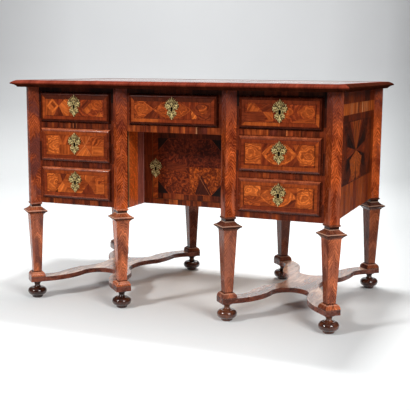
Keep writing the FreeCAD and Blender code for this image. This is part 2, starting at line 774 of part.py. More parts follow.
# Cupboard door: a flat panel, its plate and lock, and two hinges on the right edge
def make_door():
    panel = board("door_board", (minus(door_half_width), door_half_width),
                  (door_face_y, f"{door_back_y} - slide_gap"), (door_foot, door_top))
    key_x = f"(-{door_half_width} + door_plate_inset)"
    key_z = f"(({door_foot} + {door_top}) / 2 - door_plate_drop)"
    drill = cylinder("door_key_hole", "key_hole_radius", "4 * panel_thickness",
                     key_x, f"{door_face_y} - panel_thickness", key_z)
    drill.Placement.Rotation = FreeCAD.Rotation(FreeCAD.Vector(1, 0, 0), -90)
    sub_part(cut(panel, drill, "door_panel"), "door_panel")
    plate = placed_plate(DOOR_PLATE, "door_plate", key_x, door_face_y, key_z)
    case_x = f"(-{door_half_width} + door_lock_inset)"
    case_y = f"({door_back_y} - slide_gap)"
    case = board("door_lock_case", (case_x, f"{case_x} + door_lock_width"),
                 (case_y, f"{case_y} + lock_case_depth"),
                 (f"{key_z} - lock_case_height / 2", f"{key_z} + lock_case_height / 2"))
    group([plate, case], "door_lock")

    hinge_x = f"({door_edge_x} - door_gap / 2)"
    hinge_y = f"({door_face_y} - hinge_knuckle_radius)"
    leaf_depth = (f"{door_face_y} - hinge_leaf_thickness", door_face_y)
    third = "(hinge_length / 3)"
    fixed_parts = []
    moving_parts = []
    for place_name, foot in (
        ("lower", f"({door_foot} + hinge_inset)"),
        ("upper", f"({door_top} - hinge_inset - hinge_length)"),
    ):
        name = f"hinge_{place_name}"
        pin = cylinder(f"{name}_pin", "hinge_pin_radius", "hinge_length", hinge_x, hinge_y, foot)
        leaf = board(f"{name}_fixed_leaf", (f"{hinge_x} + hinge_leaf_offset",
                     f"{hinge_x} + hinge_leaf_offset + hinge_leaf_width"), leaf_depth,
                     (foot, f"{foot} + hinge_length"))
        fixed = [pin, leaf]
        for knuckle_name, low in (("foot", foot), ("head", f"({foot} + 2 * {third})")):
            fixed.append(cylinder(f"{name}_{knuckle_name}", "hinge_knuckle_radius", third, hinge_x, hinge_y, low))
            fixed.append(board(f"{name}_{knuckle_name}_neck", (hinge_x, f"{hinge_x} + hinge_leaf_offset"),
                               leaf_depth, (low, f"{low} + {third}")))
        fixed_parts.append(joined(fixed, f"{name}_fixed"))
        low = f"({foot} + {third} + slide_gap)"
        length = f"({third} - 2 * slide_gap)"
        barrel = cylinder(f"{name}_barrel", "hinge_knuckle_radius", length, hinge_x, hinge_y, low)
        neck = board(f"{name}_neck", (f"{hinge_x} - hinge_leaf_offset", hinge_x), leaf_depth,
                     (low, f"{low} + {length}"))
        leaf = board(f"{name}_moving_leaf", (f"{hinge_x} - hinge_leaf_offset - hinge_leaf_width",
                     f"{hinge_x} - hinge_leaf_offset"), leaf_depth, (foot, f"{foot} + hinge_length"))
        bore = cylinder(f"{name}_bore", "hinge_pin_radius + hinge_pin_gap", "2 * hinge_length",
                        hinge_x, hinge_y, f"{foot} - hinge_length / 2")
        moving_parts.append(cut(joined([barrel, neck, leaf], f"{name}_moving"), bore, f"{name}_bored"))
    group(fixed_parts, "door_hinges_fixed")
    group(moving_parts, "door_hinges_moving")


make_top()
make_posts()
make_legs()
make_feet()
make_stretchers()
make_panels()
make_front_frame()
make_dust_boards()
make_cupboard_frame()
make_drawers()
make_door()
doc.recompute()

faults = [f"{thing.Label}: {thing.State}" for thing in doc.Objects
          if "Invalid" in thing.State or "Error" in thing.State]
faults += [f"{thing.Label}: no valid shape" for thing in SUB_PARTS
           if thing.Shape.isNull() or not thing.Shape.isValid() or not thing.Shape.Solids]
if faults:
    raise RuntimeError("; ".join(faults))

os.makedirs("parts", exist_ok=True)
for thing in SUB_PARTS:
    thing.Shape.exportStep(os.path.join("parts", thing.Label + ".step"))
    print(f"{thing.Label}: {len(thing.Shape.Solids)} solids, {thing.Shape.Volume / 1000:.1f} cm3")
print(len(SUB_PARTS), "sub-parts")
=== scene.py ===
import math
import random
from fnmatch import fnmatch

import bpy
from mathutils import Matrix, Vector


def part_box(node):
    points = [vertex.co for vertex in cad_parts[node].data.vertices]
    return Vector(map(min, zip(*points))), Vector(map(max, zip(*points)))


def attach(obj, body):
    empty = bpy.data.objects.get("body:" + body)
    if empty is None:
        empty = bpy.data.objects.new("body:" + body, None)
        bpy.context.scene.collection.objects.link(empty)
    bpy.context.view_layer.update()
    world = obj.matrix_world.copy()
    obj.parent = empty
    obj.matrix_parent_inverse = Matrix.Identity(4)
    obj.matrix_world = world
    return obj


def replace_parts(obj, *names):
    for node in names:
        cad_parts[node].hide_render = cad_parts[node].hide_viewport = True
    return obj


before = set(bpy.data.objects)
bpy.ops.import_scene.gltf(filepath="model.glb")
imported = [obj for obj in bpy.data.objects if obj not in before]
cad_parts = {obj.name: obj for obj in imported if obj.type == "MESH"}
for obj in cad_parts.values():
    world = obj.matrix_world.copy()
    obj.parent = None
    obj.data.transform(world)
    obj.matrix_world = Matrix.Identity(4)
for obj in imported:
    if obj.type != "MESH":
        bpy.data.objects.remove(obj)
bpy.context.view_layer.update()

MM = 0.001
CARCASE = "carcase"
SIDES = ("left", "right")

# Columns: their places from the desk's middle, and a post's half diagonal, in millimetres
INNER_X = 198.5
OUTER_X = 547.5
ROW_Y = 313.0
POST_REACH = 26.2

# Wood tones, as screen colours
TONES = {
    "amber": (186, 92, 36),
    "honey": (166, 78, 29),
    "russet": (148, 65, 23),
    "brick": (124, 48, 18),
    "walnut": (108, 42, 16),
    "umber": (76, 29, 12),
    "dusk": (42, 17, 8),
    "ebony": (28, 11, 6),
    "plum": (94, 38, 28),
    "rose": (190, 106, 58),
    "pale": (222, 168, 124),
}


def linear(channel):
    channel /= 255
    return channel / 12.92 if channel <= 0.04045 else ((channel + 0.055) / 1.055) ** 2.4


def tone(name):
    return tuple(linear(c) for c in (TONES[name] if isinstance(name, str) else name))


def solid(name):
    return (*tone(name), 1)


# Materials

class Nodes:
    """A material's nodes, made and linked in short calls."""

    def __init__(self, name):
        self.material = bpy.data.materials.new(name)
        self.material.use_nodes = True
        self.tree = self.material.node_tree
        self.shader = self.tree.nodes["Principled BSDF"]
        # The object's own coordinates: at rest they are the desk's, in metres
        self.place = self.add("TexCoord", out=3)

    def feed(self, socket, source):
        if isinstance(source, bpy.types.NodeSocket):
            self.tree.links.new(source, socket)
        else:
            socket.default_value = source

    def add(self, kind, inputs=(), out=0, **settings):
        node = self.tree.nodes.new("ShaderNode" + kind)
        for key, setting in settings.items():
            setattr(node, key, setting)
        for key, source in dict(inputs).items():
            self.feed(node.inputs[key], source)
        return node.outputs[out]

    def math(self, operation, first, second=0.0, third=0.0):
        return self.add("Math", {0: first, 1: second, 2: third}, operation=operation)

    def times(self, first, second):
        return self.math("MULTIPLY", first, second)

    def minus(self, first, second):
        return self.math("SUBTRACT", first, second)

    def most(self, first, second):
        return self.math("MAXIMUM", first, second)

    def size(self, value):
        return self.math("ABSOLUTE", value)

    def fit(self, value, gain, offset):
        return self.math("MULTIPLY_ADD", value, gain, offset)

    def shift(self, base, source, amount, middle=0.5):
        """The base, moved up and down as the source leaves its middle."""
        return self.fit(self.minus(source, middle), amount, base)

    def blend(self, first, first_share, second, second_share):
        return self.math("ADD", self.times(first, first_share), self.times(second, second_share))

    def within(self, value, low, high):
        return self.times(self.math("GREATER_THAN", value, low), self.math("LESS_THAN", value, high))

    def vector(self, operation, first, second=(0, 0, 0)):
        return self.add("VectorMath", {0: first, 1: second}, operation=operation)

    def join(self, x, y, z=0.0):
        return self.add("CombineXYZ", {0: x, 1: y, 2: z})

    def split(self, vector):
        return tuple(self.add("SeparateXYZ", {0: vector}).node.outputs)

    def normal(self):
        return self.split(self.add("NewGeometry", out=1))

    def noise(self, vector, scale=1.0, detail=3.0, distortion=0.0):
        return self.add("TexNoise", {"Vector": vector, "Scale": scale, "Detail": detail, "Roughness": 0.55,
                                     "Distortion": distortion})

    def cloud(self, place, stretch, detail=2.0):
        return self.noise(self.vector("MULTIPLY", place, stretch), detail=detail)

    def sheet(self, along, across, seed, detail=2.0, distortion=0.0):
        """Noise over a face, from a coordinate and its rate in each direction."""
        return self.noise(self.join(self.times(*along), self.times(*across), seed), 1.0, detail, distortion)

    def growth_lines(self, phase):
        """Thin light lines, one for each turn of the phase."""
        return self.math("POWER", self.remap(self.math("COSINE", phase), -1.0, 1.0), 2.5)

    def mix(self, factor, first, second):
        node = self.tree.nodes.new("ShaderNodeMix")
        node.data_type = "RGBA"
        for index, source in ((0, factor), (6, first), (7, second)):
            self.feed(node.inputs[index], source)
        return node.outputs[2]

    def remap(self, factor, low, high, to_low=0.0, to_high=1.0):
        return self.add("MapRange", {0: factor, 1: low, 2: high, 3: to_low, 4: to_high})

    def figured(self, tint, figure):
        """The wood's tone, darkened and lightened by its figure."""
        node = self.tree.nodes.new("ShaderNodeValToRGB")
        self.feed(node.inputs[0], figure)
        elements = node.color_ramp.elements
        while len(elements) < len(FIGURE_STOPS):
            elements.new(0.5)
        for element, (position, shade) in zip(elements, FIGURE_STOPS):
            element.position = position
            element.color = (*shade, 1)
        shade = self.vector("SCALE", node.outputs[0])
        shade.node.inputs["Scale"].default_value = FIGURE_GAIN
        return self.vector("MULTIPLY", tint, shade)

    def finish(self, colour, roughness, bump=None, bump_strength=0.2, bump_distance=0.0003, **constants):
        self.feed(self.shader.inputs["Base Color"], colour)
        self.feed(self.shader.inputs["Roughness"], roughness)
        for name, value in constants.items():
            self.shader.inputs[name.replace("_", " ")].default_value = value
        if bump is not None:
            self.feed(self.shader.inputs["Normal"], self.add(
                "Bump", {"Strength": bump_strength, "Distance": bump_distance, "Height": bump}))
        return self.material


# Painted shade darkens the hollows of a leg's mouldings, and painted glints lighten their edges
PAINTED_SHADE = (36, 18, 13)
PAINTED_GLINT = (238, 196, 168)
PORE = (0.02, 0.007, 0.004, 1)

# How a figure value from 0, a dark streak, to 1, a light one, scales the wood's own tone
FIGURE_STOPS = [
    (0.0, (0.20, 0.15, 0.14)),
    (0.28, (0.44, 0.38, 0.36)),
    (0.50, (0.66, 0.62, 0.60)),
    (0.72, (0.92, 0.90, 0.86)),
    (1.0, (1.40, 1.50, 1.40)),
]
FIGURE_GAIN = 1.3

# Distances between the growth lines of oyster rings and of chevrons
RING_STEP = 8.5 * MM
CHEVRON_STEP = 12.5 * MM


def straight_grain(n, along, across, seed):
    """Straight, slightly wandering grain: fine streaks in broad bands."""
    wander = n.sheet((along, 22.0), (across, 30.0), seed, 3.0)
    across = n.shift(across, wander, 0.014)
    wide = n.sheet((along, 7.0), (across, 90.0), seed)
    thin = n.sheet((along, 20.0), (across, 260.0), seed, 3.0)
    return n.blend(wide, 0.55, thin, 0.45)


def oyster_rings(n, along, across, seed, curl):
    """Rings about a piece's eye, which fade in and out, with knotted curls between them for burl."""
    spot = n.join(n.times(along, 34.0), n.times(across, 34.0), seed)
    bent_along = n.shift(along, n.noise(spot), 0.045)
    bent_across = n.shift(across, n.noise(n.vector("ADD", spot, (7.3, 2.1, 5.7))), 0.045)
    bent = n.join(n.times(bent_along, 0.62), bent_across)
    radius = n.vector("LENGTH", bent).node.outputs["Value"]
    line = n.growth_lines(n.times(radius, math.tau / RING_STEP))
    fading = n.noise(n.vector("ADD", spot, (3.1, 9.4, 1.7)), 1.6)
    strength = n.remap(fading, 0.35, 0.6, 0.06, 0.1 if curl else 0.24)
    coarse_ring = n.noise(n.join(n.times(radius, 120.0), seed, 3.0), detail=1.0)
    rings = n.fit(line, strength, n.shift(0.46, coarse_ring, 0.42))
    if curl:
        knots = n.sheet((along, 62.0), (across, 62.0), seed, 5.0, 1.8)
        rings = n.shift(rings, knots, curl, middle=0.54)
    return rings


def varnished_veneer(name, coat, specular=0.16, gloss=(0.28, 0.42), coat_ior=1.5, curl=0.0,
                     coat_gloss=0.05):
    """Marquetry: each piece brings its own tone, grain direction and kind of figure."""
    n = Nodes(name)
    along, across, _ = n.split(n.add("UVMap", uv_map="grain"))
    seed, calm, _ = n.split(n.add("UVMap", uv_map="seed"))
    seed = n.times(seed, 40.0)
    tint = n.add("Attribute", attribute_name="tint", out=0)
    oyster = n.add("Attribute", attribute_name="tint", out=3)
    straight = straight_grain(n, along, across, seed)
    rings = oyster_rings(n, along, across, seed, curl)
    figure = n.remap(n.blend(straight, n.minus(1.0, oyster), rings, oyster), 0.32, 0.66)
    mottle = n.sheet((along, 75.0), (across, 75.0), seed)
    figure = n.shift(figure, mottle, 0.45)
    figure = n.fit(n.minus(0.55, figure), calm, figure)
    pores = n.sheet((along, 90.0), (across, 1500.0), seed, 1.0)
    colour = n.mix(n.remap(pores, 0.60, 0.72, 0.0, 0.45), n.figured(tint, figure), PORE)
    height = n.fit(pores, -0.6, n.times(figure, 0.4))
    return n.finish(colour, n.remap(mottle, 0.3, 0.7, *gloss), height, 0.22, 0.00025, Coat_Weight=coat,
                    Specular_IOR_Level=specular, Coat_Roughness=coat_gloss, Coat_IOR=coat_ior)


def column_wood(name, light, dark, coat, bands=(), spread=0.26):
    """Book-matched veneer on square columns set corner to the front: chevrons about each face's middle."""
    n = Nodes(name)
    x, y, z = n.split(n.place)
    inner_x, outer_x = INNER_X * MM, OUTER_X * MM
    is_outer = n.math("GREATER_THAN", n.size(x), (inner_x + outer_x) / 2)
    dx = n.minus(n.size(x), n.fit(is_outer, outer_x - inner_x, inner_x))
    dy = n.minus(n.size(y), ROW_Y * MM)
    half = math.sqrt(0.5)
    first = n.size(n.blend(dx, half, dy, half))
    second = n.size(n.times(n.minus(dy, dx), half))
    across = n.math("MINIMUM", first, second)
    # Each column, and each row of columns, has its own cut of veneer
    cell = n.vector("FLOOR", n.vector("MULTIPLY", n.place, (2.87, 2.0, 0.0)))
    column = n.add("TexWhiteNoise", {"Vector": cell})
    run = n.fit(across, 1.7, n.fit(column, 0.37, z))
    run = n.shift(run, n.cloud(n.place, (46.0, 46.0, 22.0)), 0.06)
    fine = n.sheet((run, 210.0), (across, 40.0), column)
    broad = n.sheet((run, 46.0), (across, 16.0), column)
    spot = n.vector("MULTIPLY", n.place, (21.0, 21.0, 13.0))
    patch = n.noise(n.vector("ADD", spot, n.join(n.times(run, 9.0), column)), detail=2.0)
    line = n.growth_lines(n.fit(fine, 3.0, n.times(run, math.tau / CHEVRON_STEP)))
    figure = n.fit(line, 0.26, n.blend(fine, 0.35, broad, 0.5))
    figure = n.remap(figure, 0.5 - spread, 0.5 + spread)
    tint = n.mix(n.remap(patch, 0.36, 0.62), solid(dark), solid(light))
    # Painted light: the veneer is made brighter toward the right of the desk
    painted_light = n.remap(x, -0.55, 0.55, 0.88, 1.22)
    colour = n.figured(n.vector("MULTIPLY", tint, n.join(painted_light, painted_light, painted_light)), figure)
    # Painted shade: on the right half of the desk the faces that look left are darkened
    left_face_shade = n.times(n.remap(n.normal()[0], -0.3, -0.6), n.math("GREATER_THAN", x, 0.0))
    colour = n.mix(n.times(left_face_shade, 0.6), colour, solid((70, 25, 10)))
    # Painted sheen: the heads of the columns, and the left-hand one, are mixed toward a greyish purple
    head_sheen = n.times(n.remap(z, 0.62, 0.75), n.remap(broad, 0.35, 0.6, 0.3, 0.85))
    left_column_sheen = n.times(n.remap(x, -0.38, -0.5), n.remap(patch, 0.5, 0.4, 0.15, 0.6))
    colour = n.mix(n.most(head_sheen, left_column_sheen), colour, solid((104, 58, 52)))
    # Painted reflection: lower down, long pale patches stand in for the pale floor mirrored in the veneer
    floor_reflection = n.remap(n.cloud(n.place, (52.0, 52.0, 7.0)), 0.5, 0.66, 0.0, 0.5)
    colour = n.mix(n.times(floor_reflection, n.remap(z, 0.6, 0.48)), colour, solid((196, 112, 82)))
    pores = n.cloud(n.place, (420.0, 420.0, 60.0), 1.0)
    colour = n.mix(n.remap(pores, 0.60, 0.75, 0.0, 0.4), colour, (0.03, 0.01, 0.006, 1))
    if bands:
        # The back row of legs is darker and one inner leg greyer; the collars, under the carcase, take
        # painted shade that deepens toward the right
        colour = n.mix(n.remap(y, 0.0, 0.1, 0.0, 0.6), colour, solid((48, 19, 13)))
        colour = n.mix(n.times(n.within(x, 0.1, 0.3), 0.4), colour, solid((112, 74, 64)))
        collar_shade = n.times(n.within(z, 0.3095, 0.354), n.remap(x, -0.1, 0.2, 0.1, 0.62))
        colour = n.mix(collar_shade, colour, solid(PAINTED_SHADE))
    for low, high, band_tone, amount in bands:
        colour = n.mix(n.times(n.within(z, low, high), amount), colour, solid(band_tone))
    return n.finish(colour, n.remap(broad, 0.3, 0.7, 0.2, 0.3), figure, 0.2, 0.00025,
                    Coat_Weight=coat, Coat_Roughness=0.06, Specular_IOR_Level=0.1)


def plain_wood(name, light, dark, stretch, roughness=(0.3, 0.45), coat=0.2, specular=0.3, coat_ior=1.5,
               coat_gloss=0.08, calm=0.0):
    """Solid or sheet wood whose streaks run along the smallest of the three stretch numbers."""
    n = Nodes(name)
    wander = n.times(n.cloud(n.place, (9.0, 9.0, 9.0)), 0.012)
    moved = n.vector("ADD", n.place, n.join(wander, wander, wander))
    fine = n.cloud(moved, stretch, 4.0)
    broad = n.cloud(moved, [s * 0.22 for s in stretch])
    figure = n.remap(n.blend(fine, 0.5, broad, 0.5), 0.3, 0.7, 0.6 * calm, 1 - 0.4 * calm)
    colour = n.figured(n.mix(broad, solid(dark), solid(light)), figure)
    pores = n.cloud(n.place, [s * 4.5 for s in stretch], 1.0)
    colour = n.mix(n.remap(pores, 0.60, 0.75, 0.0, 0.35), colour, (0.02, 0.008, 0.005, 1))
    return n.finish(colour, n.remap(broad, 0.3, 0.7, *roughness), figure, 0.2, 0.0003, Coat_Weight=coat,
                    Coat_Roughness=coat_gloss, Specular_IOR_Level=specular, Coat_IOR=coat_ior)


def moulding_wood(name, face, upper, lower, coat, specular, cross=False):
    """Polished mouldings: a painted highlight on the slopes that look up, painted shade on those that look
    down or right.
    """
    n = Nodes(name)
    x, y, z = n.split(n.place)
    across, _, upward = n.normal()
    if cross:
        # The streaks lie across each edge of the top, and meet at its mitres
        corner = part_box("top_edge_moulding")[1]
        end = n.math("GREATER_THAN", n.minus(n.size(x), corner.x), n.minus(n.size(y), corner.y))
        run = n.fit(end, n.minus(y, x), x)
        fine = n.sheet((run, 260.0), (z, 20.0), 0.0, 3.0)
        broad = n.noise(n.join(n.times(run, 26.0), 4.0), detail=2.0)
        right_face_shade = n.remap(across, 0.05, 0.3)
    else:
        fine = n.cloud(n.place, (220.0, 220.0, 60.0), 3.0)
        broad = n.cloud(n.place, (34.0, 34.0, 34.0))
        right_face_shade = n.remap(across, 0.2, 0.7)
    figure = n.remap(n.blend(fine, 0.5, broad, 0.5), 0.25, 0.75)
    # The painted highlight is strongest on the left half of the desk
    upward_highlight = n.times(n.remap(upward, 0.15, 0.75), n.remap(x, -0.2, 0.1, 1.0, 0.55))
    # Painted shade on the slopes that look down and on those that look right
    slope_shade = n.most(n.remap(upward, -0.1, -0.6), right_face_shade)
    colour = n.mix(n.times(slope_shade, 0.85), n.mix(upward_highlight, solid(face), solid(upper)), solid(lower))
    return n.finish(n.figured(colour, figure), n.remap(broad, 0.3, 0.7, 0.2, 0.3), figure, 0.2, 0.0003,
                    Coat_Weight=coat, Coat_Roughness=0.08, Specular_IOR_Level=specular)


def gilt_metal(name, dark, light, metallic, roughness):
    """Old gilt brass, cloudy and gritty."""
    n = Nodes(name)
    cloud = n.cloud(n.place, (240.0, 240.0, 240.0), 3.0)
    grit = n.cloud(n.place, (900.0, 900.0, 900.0))
    colour = n.mix(n.remap(cloud, 0.35, 0.65), solid(dark), solid(light))
    colour = n.mix(n.remap(grit, 0.55, 0.75, 0.0, 0.5), colour, solid((70, 56, 24)))
    return n.finish(colour, n.remap(cloud, 0.3, 0.7, *roughness), grit, 0.25, 0.0003, Metallic=metallic)


def backdrop_paint():
    """Pale where the camera looks, and grey beside and behind it, so that the desk mirrors no glare."""
    n = Nodes("studio_backdrop")
    cloud = n.cloud(n.place, (0.8, 0.8, 0.8))
    x, y, height = n.split(n.place)
    floor = n.mix(cloud, (0.82, 0.84, 0.84, 1), (0.85, 0.87, 0.87, 1))
    wall = n.mix(cloud, (0.74, 0.75, 0.76, 1), (0.79, 0.795, 0.80, 1))
    # Distances past the right-hand and left-hand edges of the view, and before the desk
    beside = n.fit(x, 0.988, n.fit(y, 0.153, -0.72))
    other = n.fit(x, -0.811, n.fit(y, -0.584, -0.748))
    before = n.fit(x, 0.379, n.times(y, -0.925))
    # Painted shade: the wall darkens toward the edges of the view
    wall_edge_shade = n.most(n.remap(beside, -0.8, 0.0, 0.0, 0.55), n.remap(other, -0.7, 0.0, 0.0, 0.6))
    wall = n.mix(wall_edge_shade, wall, (0.5, 0.5, 0.505, 1))
    away = n.most(n.remap(beside, -0.25, 0.9), n.remap(before, 1.35, 1.8))
    away = n.most(away, n.remap(other, 0.2, 1.2, 0.0, 0.9))
    colour = n.mix(away, n.mix(n.remap(height, 0.0, 0.9), floor, wall), (0.11, 0.11, 0.112, 1))
    # The floor before the camera is close to white, but throws no more light on the desk for it
    path = n.add("LightPath").node.outputs
    mirrored = n.most(path["Is Glossy Ray"], path["Is Transmission Ray"])
    seen = n.most(path["Is Camera Ray"], mirrored)
    lifted = n.times(n.remap(height, 0.0, 0.5, 0.19, 0.0), n.remap(beside, -0.45, -0.05, 1.0, 0.0))
    lifted = n.times(lifted, n.minus(1.0, away))
    # Least under the desk itself, where the stretchers' shadows lie
    outside = n.most(n.minus(n.size(x), 0.6), n.minus(n.size(y), 0.37))
    lifted = n.times(lifted, n.remap(outside, -0.1, 0.25, 0.12, 1.0))
    n.feed(n.shader.inputs["Emission Color"], (1, 1, 1, 1))
    n.feed(n.shader.inputs["Emission Strength"], n.times(seen, lifted))
    return n.finish(colour, 0.9, Specular_IOR_Level=0.1)


VENEER = varnished_veneer("varnished_veneer", 0.06)
BURL_VENEER = varnished_veneer("burl_veneer", 0.06, curl=1.7)
SIDE_VENEER = varnished_veneer("side_veneer", 0.0, 0.02)
POLISHED_VENEER = varnished_veneer("polished_veneer", 1.0, 0.5, (0.12, 0.2), 2.1, coat_gloss=0.14)

# Heights of a leg's hollows and edges in metres, with each one's tone and strength: painted shade in the
# hollows, painted glints on the edges
LEG_BANDS = (
    (0.078, 0.0815, PAINTED_SHADE, 0.75),
    (0.0975, 0.1, PAINTED_SHADE, 0.8),
    (0.094, 0.096, PAINTED_GLINT, 0.35),
    (0.3155, 0.3225, PAINTED_SHADE, 0.8),
    (0.3245, 0.3265, PAINTED_GLINT, 0.5),
    (0.3375, 0.3392, PAINTED_GLINT, 0.5),
    (0.3395, 0.3475, PAINTED_SHADE, 0.9),
)
POST_WOOD = column_wood("post_veneer", (184, 84, 38), (120, 48, 25), 0.02)
LEG_WOOD = column_wood("leg_veneer", (206, 114, 72), (130, 66, 44), 0.2, LEG_BANDS, 0.3)
# Moulding colours: the face, a painted highlight for slopes that look up, and painted shade for slopes that
# look down or right; the shaded copy is painted shade throughout
MOULDING_WOOD = moulding_wood("drawer_moulding", (116, 47, 22), (204, 112, 70), (44, 17, 10), 0.25, 0.2)
SHADED_MOULDING = moulding_wood("shaded_moulding", (84, 32, 16), (44, 18, 11), (38, 15, 9), 0.0, 0.05)
EDGE_WOOD = moulding_wood("top_edge", (104, 42, 27), (128, 58, 44), (52, 24, 14), 0.0, 0.0, cross=True)
STRETCHER_WOOD = plain_wood("stretcher_wood", (138, 68, 44), (72, 34, 24), (150.0, 26.0, 150.0),
                            (0.2, 0.35), 0.3, 0.2)
# Painted reflection: the stretcher tops are pale, standing in for the pale backdrop that their polish
# mirrors
STRETCHER_TOP_REFLECTION = plain_wood("painted_reflection_stretcher_top", (240, 200, 174), (214, 164, 138), (60.0, 14.0, 60.0),
                           (0.2, 0.3), 1.0, coat_ior=2.3, coat_gloss=0.2)
TURNED = (120.0, 120.0, 60.0)
FOOT_WOOD = plain_wood("turned_wood", (84, 42, 27), (42, 20, 14), TURNED, (0.12, 0.25), 0.8)
PALE_FOOT_WOOD = plain_wood("pale_turned_wood", (126, 72, 49), (60, 30, 20), TURNED, (0.12, 0.25), 0.9)
OAK = plain_wood("oak_boards", (204, 156, 104), (176, 128, 82), (210.0, 11.0, 210.0), (0.5, 0.7),
                 0.0, calm=0.5)
OAK_UPRIGHT = plain_wood("oak_upright", (172, 124, 78), (142, 98, 60), (210.0, 210.0, 14.0), (0.5, 0.7),
                         0.0, calm=0.5)
GILT = gilt_metal("gilt_brass", (148, 114, 58), (236, 218, 154), 0.55, (0.24, 0.38))
GILT_GROUND = gilt_metal("gilt_ground", (56, 42, 18), (88, 68, 32), 0.4, (0.45, 0.65))
# Painted shade: a near-black for the inside of the key holes
KEY_HOLE_SHADE = plain_wood("key_hole_shade", (14, 8, 5), (8, 5, 3), (200.0, 200.0, 200.0), (0.8, 0.9), 0.0, 0.02)


# Pieces

def new_mesh(name, vertices, faces, material, smooth=False):
    mesh = bpy.data.meshes.new(name)
    mesh.from_pydata(vertices, [], faces)
    mesh.materials.append(material)
    for face in mesh.polygons:
        face.use_smooth = smooth
    return mesh


def new_object(name, data):
    made = bpy.data.objects.new(name, data)
    bpy.context.scene.collection.objects.link(made)
    return made


def fit_piece(piece, body):
    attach(piece, body)


def paint(name, material):
    """Gives a CAD node its material."""
    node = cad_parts[name]
    node.data.materials.clear()
    node.data.materials.append(material)


def box_mm(name):
    """The low and the high corner of a node's box, in millimetres."""
    low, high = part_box(name)
    return low / MM, high / MM


# Marquetry

def between(a, b, share):
    return (a[0] + (b[0] - a[0]) * share, a[1] + (b[1] - a[1]) * share)


def rect(u0, v0, u1, v1):
    return [(u0, v0), (u1, v0), (u1, v1), (u0, v1)]


def oval(cu, cv, ru, rv, count=32):
    turns = [math.tau * k / count for k in range(count)]
    return [(cu + ru * math.cos(a), cv + rv * math.sin(a)) for a in turns]


def lens(cu, cv, half_width, half_height, count=12):
    """A pointed ellipse: two arcs that meet in a point at each side."""
    upper = [(-half_width + 2 * half_width * k / count,
              half_height * (1 - (2 * k / count - 1) ** 2)) for k in range(count + 1)]
    return [(cu + u, cv + v) for u, v in upper] + [(cu + u, cv - v) for u, v in upper[-2:0:-1]]


def twice_area(points):
    """Positive if the outline runs anticlockwise."""
    return sum(a[0] * b[1] - b[0] * a[1] for a, b in zip(points, points[1:] + points[:1]))


